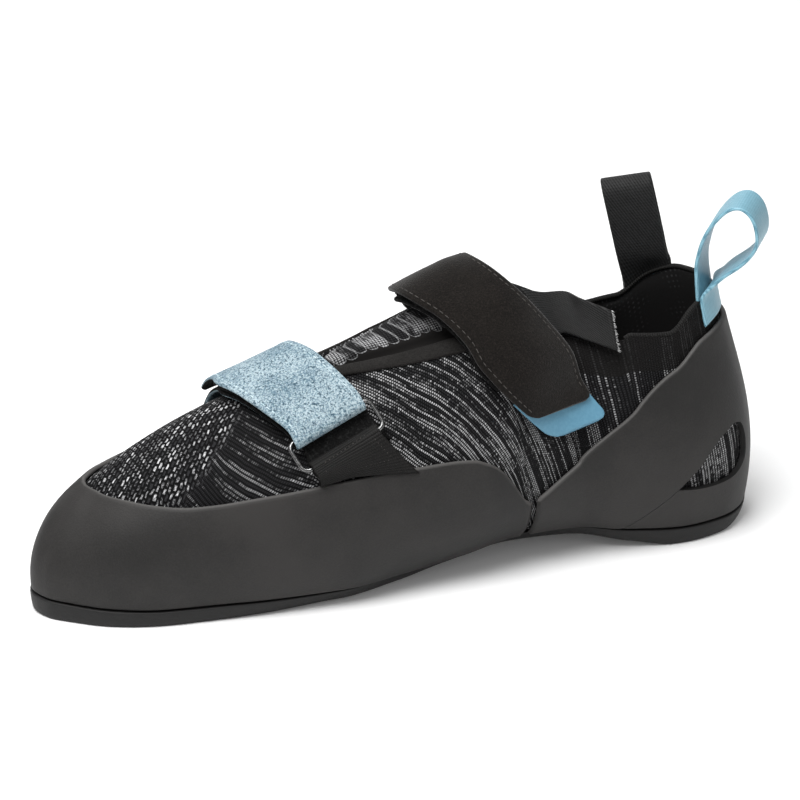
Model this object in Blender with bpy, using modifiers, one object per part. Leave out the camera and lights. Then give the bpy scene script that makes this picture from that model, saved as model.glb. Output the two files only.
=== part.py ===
"""Right climbing shoe: knitted upper, rubber rands, one-piece outsole and two hook-and-loop straps.

The shoe stands on its sole. +X points to the toe, +Y to the medial side and +Z up.
The origin is on the floor under the middle of the heel seat.
"""

import math
from collections import namedtuple

import bmesh
import bpy
import numpy as np
from mathutils import Vector

# Driving sizes, in metres
LENGTH = 0.2635          # upper at its lower edge, heel to toe
BALL_WIDTH = 0.0900      # upper at its widest, across the ball
HEEL_WIDTH = 0.0600      # upper at its widest, across the heel
INSTEP_HEIGHT = 0.0970   # top of the upper over the instep
HEEL_HEIGHT = 0.0880     # top of the collar at the back
HEEL_SEAT = 0.0380       # from the back of the upper to the middle of the heel seat

WALL = 0.0020            # knitted upper
RAND = 0.0020            # rubber rands
SEAM_GAP = 0.0004        # between glued curved pieces
FIT_GAP = 0.0003         # between flat pieces
SOLE_TOE = 0.0060        # outsole thickness under the toe and the ball
SOLE_WAIST = 0.0042      # outsole thickness under the arch
SOLE_HEEL = 0.0068       # outsole thickness under the heel
INSOLE = 0.0020
TONGUE = 0.0025
BINDING = 0.0012

FRONT_STRAP_WIDTH = 0.0275
REAR_STRAP_WIDTH = 0.0300
STRAP = 0.0016           # strap thickness
HOOK = 0.0014            # hook layer between a strap's two runs
KEEPER = 0.0012          # webbing that holds a ring
RING_WIRE = 0.0010       # radius of the ring's wire
LOOP_WIDTH = 0.0180
LOOP = 0.0013            # pull loop webbing thickness
LOOP_HEIGHT = 0.0440     # pull loop above the collar

# Lower edge of the upper: a row for each section from the toe tip to the back of the heel.
# x is a share of the length; y is a share of the ball width down to the arch and of the heel width
# after it; z is the arch and toe spring of the sole's upper face, as a share of the sole at the toe.
Edge = namedtuple("Edge", "med_x med_y lat_x lat_y med_z lat_z")
LOWER_EDGE = [
    Edge(1.000, 0.078, 1.000, 0.078, 1.25, 1.25),
    Edge(0.990, 0.150, 0.991, -0.006, 1.22, 1.22),
    Edge(0.962, 0.217, 0.970, -0.094, 1.15, 1.15),
    Edge(0.918, 0.294, 0.934, -0.189, 1.07, 1.07),
    Edge(0.861, 0.344, 0.880, -0.311, 1.00, 1.00),
    Edge(0.789, 0.367, 0.808, -0.428, 1.00, 1.00),
    Edge(0.710, 0.389, 0.725, -0.500, 1.00, 1.00),
    Edge(0.626, 0.394, 0.638, -0.522, 1.00, 1.00),
    Edge(0.543, 0.335, 0.546, -0.483, 1.02, 1.00),
    Edge(0.459, 0.262, 0.455, -0.417, 1.12, 1.05),
    Edge(0.372, 0.215, 0.368, -0.361, 1.50, 1.18),
    Edge(0.288, 0.350, 0.285, -0.492, 1.62, 1.25),
    Edge(0.213, 0.430, 0.205, -0.475, 1.33, 1.17),
    Edge(0.140, 0.460, 0.137, -0.458, 1.13, 1.13),
    Edge(0.080, 0.408, 0.078, -0.400, 1.13, 1.13),
    Edge(0.038, 0.258, 0.038, -0.258, 1.13, 1.13),
    Edge(0.016, 0.000, 0.016, 0.000, 1.13, 1.13),
]
FIRST_HEEL_ROW = 11      # from this row on, widths are shares of the heel width

# Upper edge: the ridge of the vamp and instep, then the collar. x and y as above; z is a share of
# the instep height on the ridge and of the heel height on the collar.
Top = namedtuple("Top", "x med_y lat_y med_z lat_z")
UPPER_EDGE = [
    Top(0.911, 0.000, 0.000, 0.433, 0.433),
    Top(0.899, 0.000, 0.000, 0.458, 0.458),
    Top(0.877, 0.000, 0.000, 0.492, 0.492),
    Top(0.844, 0.005, 0.005, 0.545, 0.545),
    Top(0.801, 0.010, 0.010, 0.602, 0.602),
    Top(0.748, 0.010, 0.010, 0.664, 0.664),
    Top(0.683, 0.010, 0.010, 0.725, 0.725),
    Top(0.611, 0.010, 0.010, 0.790, 0.790),
    Top(0.535, 0.010, 0.010, 0.872, 0.872),
    Top(0.455, 0.010, 0.010, 0.968, 0.968),
    Top(0.384, 0.010, 0.010, 1.008, 1.008),
    Top(0.304, 0.015, 0.015, 1.020, 1.020),
    Top(0.216, 0.400, -0.385, 0.915, 0.850),
    Top(0.163, 0.425, -0.425, 0.905, 0.855),
    Top(0.122, 0.362, -0.370, 0.985, 0.950),
    Top(0.086, 0.217, -0.220, 1.020, 1.005),
    Top(0.067, 0.000, 0.000, 1.010, 1.010),
]
FIRST_COLLAR_ROW = 11    # from this row on, heights are shares of the heel height

# How the wall leaves the lower edge and arrives at the upper one, in degrees.
# flare leans outward from the vertical; dip falls from the horizontal; pull is how far the wall
# holds each direction, as a share of its chord.
Swell = namedtuple("Swell", "med_flare lat_flare med_dip lat_dip med_pull lat_pull")
SWELL = [
    Swell(6, 6, 32, 32, 0.42, 0.42),
    Swell(7, 7, 30, 30, 0.42, 0.42),
    Swell(9, 9, 24, 26, 0.42, 0.40),
    Swell(12, 12, 16, 20, 0.42, 0.37),
    Swell(16, 16, 12, 16, 0.42, 0.35),
    Swell(20, 20, 10, 15, 0.42, 0.34),
    Swell(24, 24, 9, 14, 0.42, 0.34),
    Swell(28, 28, 9, 13, 0.42, 0.35),
    Swell(42, 33, 10, 12, 0.42, 0.38),
    Swell(58, 37, 12, 14, 0.42, 0.40),
    Swell(60, 38, 14, 16, 0.42, 0.42),
    Swell(48, 34, 24, 24, 0.42, 0.42),
    Swell(30, 26, 76, 76, 0.42, 0.42),
    Swell(18, 16, 82, 82, 0.42, 0.42),
    Swell(11, 11, 82, 82, 0.42, 0.42),
    Swell(9, 9, 79, 79, 0.42, 0.42),
    Swell(8, 8, 78, 78, 0.42, 0.42),
]
UPPER_PULL = 0.86        # the upper handle's length as a share of the lower one
LAST_ROW = len(SWELL) - 1


def heights_of_edges():
    """World values of the tables: lower edge points, upper edge points and wall angles by row."""
    lower, upper, angles = {}, {}, {}
    for row, (edge, top, swell) in enumerate(zip(LOWER_EDGE, UPPER_EDGE, SWELL)):
        width = HEEL_WIDTH if row >= FIRST_HEEL_ROW else BALL_WIDTH
        height = HEEL_HEIGHT if row >= FIRST_COLLAR_ROW else INSTEP_HEIGHT
        lower[-row] = (edge.med_x * LENGTH, edge.med_y * width, edge.med_z * SOLE_TOE)
        lower[row] = (edge.lat_x * LENGTH, edge.lat_y * width, edge.lat_z * SOLE_TOE)
        upper[-row] = (top.x * LENGTH, top.med_y * width, top.med_z * height)
        upper[row] = (top.x * LENGTH, top.lat_y * width, top.lat_z * height)
        angles[-row] = (swell.med_flare, swell.med_dip, swell.med_pull)
        angles[row] = (swell.lat_flare, swell.lat_dip, swell.lat_pull)
    return lower, upper, angles


def closed_rows(by_row):
    """Rows in order round the shoe, from the back of the heel along the medial side and back."""
    return np.array([by_row[row] for row in range(-LAST_ROW, LAST_ROW)], float)


def smooth_rows(rows, place):
    """Value of a closed table at a place, by cubics that never overshoot its rows."""
    count = len(rows)
    place = (np.asarray(place, float) + LAST_ROW) % count
    low = np.floor(place).astype(int) % count
    share = (place - np.floor(place))[..., None]
    step = np.roll(rows, -1, axis=0) - rows
    before = np.roll(step, 1, axis=0)
    same = step * before > 0
    slope = np.where(same, 2 * step * before / np.where(same, step + before, 1), 0)
    high = (low + 1) % count
    a, b = rows[low], rows[high]
    return (a * (1 + 2 * share) * (1 - share) ** 2 + b * share ** 2 * (3 - 2 * share)
            + slope[low] * share * (1 - share) ** 2 - slope[high] * share ** 2 * (1 - share))


LOWER_BY_ROW, UPPER_BY_ROW, ANGLE_BY_ROW = heights_of_edges()
LOWER_ROWS = closed_rows(LOWER_BY_ROW)
UPPER_ROWS = closed_rows(UPPER_BY_ROW)
ANGLE_ROWS = closed_rows(ANGLE_BY_ROW)


def outward(place):
    """Horizontal unit normal of the lower edge, pointing away from the foot."""
    ahead = smooth_rows(LOWER_ROWS, np.asarray(place, float) + 0.05)
    behind = smooth_rows(LOWER_ROWS, np.asarray(place, float) - 0.05)
    along = ahead - behind
    normal = np.stack([-along[..., 1], along[..., 0], 0 * along[..., 0]], -1)
    return normal / np.linalg.norm(normal, axis=-1, keepdims=True)


def form_point(place, height):
    """Point of the upper's outer face: place is the section, negative on the medial side; height
    runs from 0 at the lower edge to 1 at the upper edge."""
    place, height = np.broadcast_arrays(np.asarray(place, float), np.asarray(height, float))
    foot = smooth_rows(LOWER_ROWS, place)
    top = smooth_rows(UPPER_ROWS, place)
    flare, dip, pull = np.moveaxis(smooth_rows(ANGLE_ROWS, place), -1, 0)[..., None]
    flare, dip = np.radians(flare), np.radians(dip)
    out = outward(place)
    up = np.array([0.0, 0.0, 1.0])
    chord = np.linalg.norm(top - foot, axis=-1, keepdims=True)
    rising = foot + pull * chord * (np.sin(flare) * out + np.cos(flare) * up)
    falling = top + UPPER_PULL * pull * chord * (np.cos(dip) * out - np.sin(dip) * up)
    h = height[..., None]
    return ((1 - h) ** 3 * foot + 3 * h * (1 - h) ** 2 * rising
            + 3 * h ** 2 * (1 - h) * falling + h ** 3 * top)


def form_normal(place, height):
    """Outward unit normal of the upper's outer face."""
    place, height = np.broadcast_arrays(np.asarray(place, float), np.asarray(height, float))
    low = np.clip(height - 0.02, 0, 0.97)
    rise = form_point(place, low + 0.03) - form_point(place, low)
    along = form_point(place + 0.04, height) - form_point(place - 0.04, height)
    flat = np.linalg.norm(along, axis=-1, keepdims=True) < 1e-7
    along = np.where(flat, np.cross(np.array([0, 0, 1.0]), outward(place)), along)
    normal = np.cross(rise, along)
    return normal / np.linalg.norm(normal, axis=-1, keepdims=True)


# Objects

Finish = namedtuple("Finish", "colour roughness metallic")
FINISHES = {
    "rubber": Finish((0.045, 0.043, 0.042), 0.62, 0.0),
    "knit": Finish((0.060, 0.060, 0.065), 0.85, 0.0),
    "tongue_knit": Finish((0.110, 0.110, 0.115), 0.85, 0.0),
    "black_suede": Finish((0.022, 0.020, 0.019), 0.90, 0.0),
    "black_webbing": Finish((0.028, 0.027, 0.027), 0.75, 0.0),
    "blue_suede": Finish((0.230, 0.420, 0.520), 0.85, 0.0),
    "blue_webbing": Finish((0.180, 0.400, 0.500), 0.60, 0.0),
    "blue_tab": Finish((0.150, 0.350, 0.450), 0.45, 0.0),
    "wire": Finish((0.060, 0.058, 0.055), 0.35, 0.8),
    "insole": Finish((0.050, 0.050, 0.052), 0.90, 0.0),
}


def material(finish_name):
    """Principled material for a named finish, made once."""
    made = bpy.data.materials.get(finish_name)
    if made is None:
        finish = FINISHES[finish_name]
        made = bpy.data.materials.new(finish_name)
        made.use_nodes = True
        shader = made.node_tree.nodes["Principled BSDF"]
        shader.inputs["Base Color"].default_value = (*finish.colour, 1.0)
        shader.inputs["Roughness"].default_value = finish.roughness
        shader.inputs["Metallic"].default_value = finish.metallic
    return made


def add_object(name, data, finish_name, collection):
    """Object for a mesh or curve, standing on the shoe's own empty."""
    data.materials.append(material(finish_name))
    made = bpy.data.objects.new(name, data)
    collection.objects.link(made)
    made.parent = bpy.data.objects["last"]
    return made


def grid_mesh(name, grid, closed=False, weld=False):
    """Mesh of quads through a grid of points; closed joins the last row to the first."""
    rows, columns = len(grid), len(grid[0])
    bm = bmesh.new()
    verts = [[bm.verts.new(Vector(point)) for point in row] for row in grid]
    for i in range(rows if closed else rows - 1):
        for j in range(columns - 1):
            after = (i + 1) % rows
            bm.faces.new((verts[i][j], verts[i][j + 1], verts[after][j + 1], verts[after][j]))
    if weld:
        bmesh.ops.remove_doubles(bm, verts=bm.verts, dist=0.00002)
    mesh = bpy.data.meshes.new(name)
    bm.to_mesh(mesh)
    bm.free()
    mesh.shade_smooth()
    return mesh


def shell(name, grid, thickness, side, finish_name, collection, **mesh_options):
    """Open sheet given its thickness: side is 1 outward, -1 inward and 0 both ways."""
    made = add_object(name, grid_mesh(name, grid, **mesh_options), finish_name, collection)
    solid = made.modifiers.new("thickness", "SOLIDIFY")
    solid.thickness = thickness
    solid.offset = side
    solid.use_even_offset = True
    solid.use_quality_normals = True
    return made


def places(first, last):
    """Places of the shared section grid from first to last, both on the grid or between."""
    inside = [k for k in STATIONS if first + 0.02 < k < last - 0.02]
    return np.array([first, *inside, last])


def edge_value(rows, place):
    """Value of an edge table at a section, the same on both sides of the shoe."""
    return float(np.interp(abs(place), [row[0] for row in rows], [row[1] for row in rows]))


# Top edge of the upper, as a height share: closed along the vamp, open at the throat and collar
THROAT_EDGE = [(6.50, 1.00), (7.00, 0.928), (7.50, 0.888), (8.00, 0.857), (8.50, 0.832),
               (9.50, 0.802), (11.00, 0.800), (11.50, 0.905), (12.00, 1.00)]
THROAT_START = 6.50
BINDING_WIDTH = 0.060    # share of a section's height

# Rands: a row for each section with the rubber's top edge as a height share
TOE_RAND_TOP = [(0.00, 0.925), (1.00, 0.835), (1.85, 0.735), (2.75, 0.625), (3.35, 0.560),
                (4.25, 0.487), (5.00, 0.462), (6.25, 0.452), (8.70, 0.445), (9.10, 0.430),
                (9.45, 0.355), (9.65, 0.310), (9.90, 0.255), (10.14, 0.230)]
HEEL_RAND_TOP = [(10.22, 0.240), (10.50, 0.280), (10.75, 0.315), (11.10, 0.363), (11.30, 0.403),
                 (11.50, 0.467), (11.85, 0.612), (12.20, 0.712), (12.50, 0.770), (12.85, 0.820),
                 (13.35, 0.860), (13.95, 0.868), (14.60, 0.866), (15.30, 0.862), (16.00, 0.862)]
RAND_TOP = TOE_RAND_TOP + HEEL_RAND_TOP
TOE_RAND_END = 10.14
HEEL_RAND_START = 10.22
RAND_STEPS = 5
ABOVE_STEPS = 5


def section_grid():
    """Sections every sheet shares, so that no facet of one cuts its neighbour."""
    own = {float(k) for k in np.arange(1, 2 * LAST_ROW) / 2} - {10.0}
    own |= {TOE_RAND_END, HEEL_RAND_START}
    return sorted({-k for k in own} | own | {0.0, float(LAST_ROW)})


STATIONS = section_grid()


def wall_shares(place):
    """Height shares of the upper's rows at a section: even to the rand's top, even above it, and
    a last row as wide as the throat's binding where there is one."""
    top = edge_value(THROAT_EDGE, place)
    rubber = min(edge_value(RAND_TOP, place), top - BINDING_WIDTH - 0.05)
    below = np.linspace(0, rubber, RAND_STEPS + 1)
    above = np.linspace(rubber, top - BINDING_WIDTH, ABOVE_STEPS)
    return np.array([*below, *above[1:], top])


def build_upper(collection):
    """Knitted upper: one wall from the sole's edge to the ridge, the throat and the collar."""
    grid = [form_point(place, wall_shares(place)) for place in STATIONS]
    return shell("upper", grid, WALL, -1, "knit", collection, closed=True, weld=True)


def build_tongue(collection):
    """Tongue under the throat: its edges lie inside the upper and its middle rises to fill it."""
    first, last = THROAT_START - 0.5, 11.0
    tip_rows, tip_step = 2, 0.0050
    columns = [(-0.055, 0.0), (0.03, 0.0), (0.28, 0.55), (0.60, 1.0), (1.0, 1.0)]
    narrowest = 0.12
    grid = []
    for place in places(first, last):
        edge = edge_value(THROAT_EDGE, place)
        row = []
        for side in (1, -1):
            half = []
            for share, rise in columns:
                gap = max(1 - edge, narrowest)
                height = 1 - gap + (share * gap if share > 0 else share)
                opening = np.clip((height - edge - 0.015) / 0.03, 0, 1) * min((1 - edge) / 0.10, 1.0)
                sink = (WALL + 4 * SEAM_GAP) * (1 - rise * opening)
                half.append(form_point(side * place, height) - sink * form_normal(side * place, height))
            row.append(half)
        grid.append(np.array([*row[0], *row[1][::-1][1:]]))
    for k in range(1, tip_rows + 1):
        grid.append(grid[-1] + tip_step * np.array([-1.0, 0.0, -0.35 - 0.12 * k]))
    return shell("tongue", grid, TONGUE, -1, "tongue_knit", collection)


def build_throat_binding(name, side, collection):
    """Smooth padded binding along one edge of the throat."""
    grid = []
    for place in places(THROAT_START + 0.5, 11.0):
        edge = edge_value(THROAT_EDGE, place)
        share = np.linspace(edge - BINDING_WIDTH, edge - 0.004, 3)
        points = form_point(side * place, share[[0, 2]])
        points = np.linspace(points[0], points[1], 3)
        grid.append(points + SEAM_GAP * form_normal(side * place, share))
    return shell(name, grid if side > 0 else grid[::-1], BINDING, 1, "black_webbing", collection)


# Corners of the knit window in the heel rand, in order round it
HEEL_WINDOW = [(12.82, 0.215), (13.30, 0.305), (13.72, 0.367), (14.15, 0.399), (14.38, 0.408),
               (14.62, 0.385), (14.74, 0.320), (14.74, 0.255), (14.62, 0.205), (14.25, 0.172),
               (13.76, 0.170), (13.30, 0.188)]


def rand_foot(place):
    """Height share where the rubber starts, so that its lower corner just clears the sole."""
    foot = smooth_rows(LOWER_ROWS, place)
    top = smooth_rows(UPPER_ROWS, place)
    flare, _, pull = smooth_rows(ANGLE_ROWS, place)
    chord = np.linalg.norm(top - foot)
    return (RAND + SEAM_GAP) * math.tan(math.radians(flare)) / (3 * pull * chord) + 0.002


def rand_grid(stations):
    """Sheet just outside the upper between the sole and the rand's top edge."""
    grid = []
    for place in stations:
        share = np.linspace(0, edge_value(RAND_TOP, place), RAND_STEPS + 1)
        share[0] = max(rand_foot(place), 0.0)
        grid.append(form_point(place, share) + SEAM_GAP * form_normal(place, share))
    return grid


def build_toe_rand(collection):
    """Rubber over the toes and along both sides to the arch."""
    grid = rand_grid(places(-TOE_RAND_END, TOE_RAND_END))
    return shell("toe_rand", grid, RAND, 1, "rubber", collection)


def window_cutter(name, side, cutters):
    """Cutter for one knit window, taken through the rand along the upper's own normals."""
    corners = HEEL_WINDOW if side < 0 else HEEL_WINDOW[::-1]
    middle = np.mean(corners, axis=0)
    inner_depth, outer_depth = -0.002, 0.007
    bm = bmesh.new()
    rings = []
    for depth in (inner_depth, outer_depth):
        ring = [form_point(side * place, height) + depth * form_normal(side * place, height)
                for place, height in [*corners, middle]]
        rings.append([bm.verts.new(Vector(point)) for point in ring])
    inner, outer = rings
    count = len(corners)
    for k in range(count):
        after = (k + 1) % count
        bm.faces.new((outer[k], outer[after], outer[count]))
        bm.faces.new((inner[after], inner[k], inner[count]))
        bm.faces.new((inner[k], inner[after], outer[after], outer[k]))
    bmesh.ops.recalc_face_normals(bm, faces=bm.faces)
    mesh = bpy.data.meshes.new(name)
    bm.to_mesh(mesh)
    bm.free()
    cutter = add_object(name, mesh, "rubber", cutters)
    cutter.hide_render = True
    cutter.display_type = "WIRE"
    return cutter


def build_heel_rand(collection, cutters):
    """Rubber round the heel: a band up from the arch, the heel cup and a knit window each side."""
    stations = [*places(HEEL_RAND_START, LAST_ROW)]
    stations += [-place for place in stations[::-1]][1:]
    grid = rand_grid(stations)
    made = shell("heel_rand", grid, RAND, 1, "rubber", collection)
    for side, word in ((-1, "medial"), (1, "lateral")):
        cut = made.modifiers.new("window_" + word, "BOOLEAN")
        cut.operation = "DIFFERENCE"
        cut.solver = "EXACT"
        cut.object = window_cutter("window_cutter_" + word, side, cutters)
    return made


# Underside of the sole by section: height above the floor as a share of the sole at the toe,
# margin beyond the upper as a share of the rand, and how far its side slopes under, likewise
Tread = namedtuple("Tread", "med_lift lat_lift med_margin lat_margin med_under lat_under")
TREAD = [
    Tread(0.00, 0.00, 1.20, 1.20, 0.20, 0.30),
    Tread(0.00, 0.00, 1.20, 1.20, 0.20, 0.30),
    Tread(0.00, 0.00, 1.25, 1.25, 0.20, 0.30),
    Tread(0.00, 0.00, 1.30, 1.30, 0.25, 0.30),
    Tread(0.00, 0.00, 1.30, 1.30, 0.35, 0.35),
    Tread(0.00, 0.00, 1.30, 1.30, 0.70, 0.40),
    Tread(0.00, 0.00, 1.15, 1.30, 1.60, 0.45),
    Tread(0.00, 0.00, 0.80, 1.25, 2.50, 0.55),
    Tread(0.10, 0.00, 0.60, 1.10, 2.40, 0.80),
    Tread(0.45, 0.15, 0.55, 0.95, 2.00, 1.00),
    Tread(0.85, 0.35, 0.55, 0.85, 1.50, 1.00),
    Tread(0.98, 0.35, 0.70, 0.95, 1.00, 0.80),
    Tread(0.50, 0.06, 1.00, 1.15, 0.70, 0.60),
    Tread(0.00, 0.00, 1.25, 1.25, 0.60, 0.60),
    Tread(0.00, 0.00, 1.25, 1.25, 0.80, 0.80),
    Tread(0.00, 0.00, 1.10, 1.10, 1.20, 1.20),
    Tread(0.00, 0.00, 1.05, 1.05, 1.50, 1.50),
]
SOLE_ACROSS = 4


def tread_rows():
    """Sole table in closed order: lift, margin and undercut in metres."""
    by_row = {}
    for row, tread in enumerate(TREAD):
        by_row[-row] = (tread.med_lift * SOLE_TOE, tread.med_margin * (RAND + SEAM_GAP),
                        tread.med_under * RAND)
        by_row[row] = (tread.lat_lift * SOLE_TOE, tread.lat_margin * (RAND + SEAM_GAP),
                       tread.lat_under * RAND)
    return closed_rows(by_row)


TREAD_ROWS = tread_rows()
FLAT_CUT = 0.055                     # lifts below this share are ground flat
FLAT_STATION = 12.8                  # where the heel's flat underside starts
RING_STATIONS = sorted([*np.arange(-2 * LAST_ROW, 2 * LAST_ROW) / 2, -FLAT_STATION, FLAT_STATION])


def plate(name, upper_ring, side_rings, lower_ring, finish_name, collection):
    """Closed plate between two rings of edge points; rings run from the heel round the medial
    side. Both faces are filled by strips across, between points at the same section."""
    rings = [upper_ring, *side_rings, lower_ring]
    count = len(upper_ring)
    half = count // 2
    bm = bmesh.new()
    verts = [[bm.verts.new(Vector(point)) for point in ring] for ring in rings]
    for upper, lower in zip(verts, verts[1:]):
        for k in range(count):
            after = (k + 1) % count
            bm.faces.new((upper[k], upper[after], lower[after], lower[k]))
    for ring, turned in ((verts[0], True), (verts[-1], False)):
        strips = [[ring[0]] * (SOLE_ACROSS + 1)]
        for k in range(1, half):
            left, right = ring[k], ring[count - k]
            inner = [bm.verts.new(left.co.lerp(right.co, s / SOLE_ACROSS))
                     for s in range(1, SOLE_ACROSS)]
            strips.append([left, *inner, right])
        strips.append([ring[half]] * (SOLE_ACROSS + 1))
        for before, after in zip(strips, strips[1:]):
            for s in range(SOLE_ACROSS):
                corners = [before[s], before[s + 1], after[s + 1], after[s]]
                corners = list(dict.fromkeys(corners))
                bm.faces.new(corners[::-1] if turned else corners)
    bmesh.ops.recalc_face_normals(bm, faces=bm.faces)
    mesh = bpy.data.meshes.new(name)
    bm.to_mesh(mesh)
    bm.free()
    mesh.shade_smooth()
    mesh.set_sharp_from_angle(angle=math.radians(35))
    return add_object(name, mesh, finish_name, collection)


def sole_rings():
    """Upper edge, side step and tread edge of the outsole."""
    upper, middle, lower = [], [], []
    for place in RING_STATIONS:
        foot = smooth_rows(LOWER_ROWS, place)
        out = outward(place)
        lift, margin, under = smooth_rows(TREAD_ROWS, place)
        lift = max(lift - FLAT_CUT * SOLE_TOE, 0)
        edge = foot + margin * out
        upper.append((edge[0], edge[1], foot[2] - FIT_GAP))
        middle_z = lift + 0.35 * (foot[2] - FIT_GAP - lift)
        step = edge - 0.30 * under * out
        middle.append((step[0], step[1], middle_z))
        tread = edge - under * out
        lower.append((tread[0], tread[1], lift))
    return upper, middle, lower


def build_outsole(collection):
    """One-piece outsole with its arch, toe spring and the sloping side of its edge."""
    upper, middle, lower = sole_rings()
    return plate("outsole", upper, [middle], lower, "rubber", collection)


def build_insole(collection):
    """Thin footbed that closes the upper from below."""
    inset = WALL + 2 * FIT_GAP
    low, high = [], []
    for place in RING_STATIONS:
        foot = smooth_rows(LOWER_ROWS, place) - inset * outward(place)
        low.append(foot)
        high.append(foot + np.array([0, 0, INSOLE]))
    return plate("insole", high, [], low, "insole", collection)


# Straps

Rail = namedtuple("Rail", "front_place front_girth rear_place rear_girth front_clear rear_clear")
Seat = namedtuple("Seat", "front_place front_girth rear_place rear_girth")
# A place on the shoe is given by its section and its girth: 0 at the lateral edge of the sole,
# 1 on the ridge, 2 at the medial edge of the sole. Clear is the height of the strap's lower run
# over the upper, as a share of STRAP_CLEAR. Rows go from the sewn end to the ring.
FRONT_RAILS = [
    Rail(5.70, 0.495, 6.95, 0.495, 0.00, 0.00),
    Rail(5.62, 0.610, 6.90, 0.610, 0.40, 0.45),
    Rail(5.50, 0.730, 6.84, 0.730, 0.60, 0.80),
    Rail(5.33, 0.870, 6.76, 0.850, 0.60, 1.00),
    Rail(5.14, 0.985, 6.74, 0.960, 0.50, 1.20),
    Rail(5.42, 1.090, 6.92, 1.055, 0.45, 1.10),
    Rail(5.76, 1.205, 7.08, 1.150, 0.35, 0.80),
]
FRONT_SEAT = Seat(6.38, 1.425, 7.29, 1.350)
FRONT_KEEPER = [Rail(6.58, 1.510, 7.66, 1.526, 0.30, 0.0)]
REAR_RAILS = [
    Rail(9.29, 1.389, 11.00, 1.260, 0.75, 0.75),
    Rail(9.04, 1.313, 10.66, 1.187, 0.90, 1.05),
    Rail(8.92, 1.235, 10.35, 1.130, 1.40, 1.45),
    Rail(8.70, 1.145, 10.06, 1.054, 2.10, 1.80),
    Rail(8.46, 1.060, 9.80, 0.975, 2.60, 1.90),
    Rail(8.40, 0.955, 9.90, 0.880, 1.50, 1.60),
    Rail(8.54, 0.840, 10.05, 0.770, 1.30, 1.50),
    Rail(8.72, 0.725, 10.22, 0.655, 0.75, 0.90),
]
REAR_SEAT = Seat(8.92, 0.590, 10.36, 0.515)
REAR_KEEPER = [Rail(8.92, 0.462, 10.40, 0.385, 0.0, 0.0)]
# Rear strap's free end beyond its lower run, from the tip; clear there is over the tab
REAR_END = [
    Rail(10.14, 1.492, 11.44, 1.352, 0.0, 0.0),
    Rail(9.72, 1.460, 11.26, 1.318, 0.35, 0.35),
]
REAR_TAB = [
    Rail(9.62, 1.436, 11.24, 1.308, 0.0, 0.0),
    Rail(10.12, 1.492, 11.44, 1.350, 0.0, 0.0),
    Rail(10.56, 1.558, 11.64, 1.395, 0.0, 0.0),
]
TAB = 0.0012
STRAP_CLEAR = 0.0024
RING_HEIGHT = 0.0110     # between the centres of its two bars
RING_LIFT = 0.0042       # its centre over the upper
RIBBON_COLUMNS = (0.0, 0.14, 0.5, 0.86, 1.0)
RUN_STEPS = 2            # points between two rows of a table


def smooth_path(points):
    """Catmull-Rom line through points, RUN_STEPS to a span."""
    points = np.array(points, float)
    ends = [2 * points[0] - points[1], *points, 2 * points[-1] - points[-2]]
    line = []
    for a, b, c, d in zip(ends, ends[1:], ends[2:], ends[3:]):
        for t in np.arange(RUN_STEPS) / RUN_STEPS:
            line.append(0.5 * (2 * b + (c - a) * t + (2 * a - 5 * b + 4 * c - d) * t ** 2
                               + (3 * b - a - 3 * c + d) * t ** 3))
    line.append(points[-1])
    return np.array(line)


def unit(vectors):
    """Vectors scaled to length one."""
    return vectors / np.linalg.norm(vectors, axis=-1, keepdims=True)


RIDGE_BLEND = 0.12       # girth over which the two sides' normals are blended at the ridge


def girth_point(place, girth, lift=0.0):
    """Point a given height over the upper at a section and girth."""
    point = form_point(place if girth < 1 else -place, min(girth, 2 - girth))
    return point + lift * girth_normal(place, girth) if lift else point


def girth_normal(place, girth):
    """Outward normal of the upper at a section and girth, rounded over the ridge."""
    medial_share = np.clip(0.5 + (girth - 1) / (2 * RIDGE_BLEND), 0, 1)
    lateral = form_normal(place, min(girth, 1.0))
    medial = form_normal(-place, min(2 - girth, 1.0))
    return unit(medial_share * medial + (1 - medial_share) * lateral)


def point_over(target, place, girth, along, normal):
    """Where the upper lies under or over a target, looking along a normal."""
    sideways = np.cross(normal, along)
    for _ in range(4):
        here = girth_point(place, girth)
        by_place = (girth_point(place + 0.05, girth) - here) / 0.05
        by_girth = (girth_point(place, girth + 0.01) - here) / 0.01
        slopes = np.array([[by_place @ along, by_girth @ along],
                           [by_place @ sideways, by_girth @ sideways]])
        miss = np.array([(target - here) @ along, (target - here) @ sideways])
        step = np.clip(np.linalg.solve(slopes, miss), (-0.6, -0.08), (0.6, 0.08))
        place, girth = place + step[0], girth + step[1]
    return girth_point(place, girth), girth_normal(place, girth)


def rail_row(rail, lifts):
    """Points straight across a ribbon from its front rail to its rear one, as high over the upper
    as its lifts say."""
    front = girth_point(rail.front_place, rail.front_girth)
    rear = girth_point(rail.rear_place, rail.rear_girth)
    along = unit(rear - front)
    middle = (rail.front_place + rail.rear_place) / 2, (rail.front_girth + rail.rear_girth) / 2
    normal = girth_normal(*middle)
    normal = unit(normal - (normal @ along) * along)
    row = []
    for share in RIBBON_COLUMNS:
        target = front + share * (rear - front)
        place = rail.front_place + share * (rail.rear_place - rail.front_place)
        girth = rail.front_girth + share * (rail.rear_girth - rail.front_girth)
        under, tilt = point_over(target, place, girth, along, normal)
        lift = (lifts[0] + share * (lifts[1] - lifts[0])) / max(tilt @ normal, 0.6)
        row.append(target + (max((under - target) @ normal, 0.0) + lift) * normal)
    return np.array(row)


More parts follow.
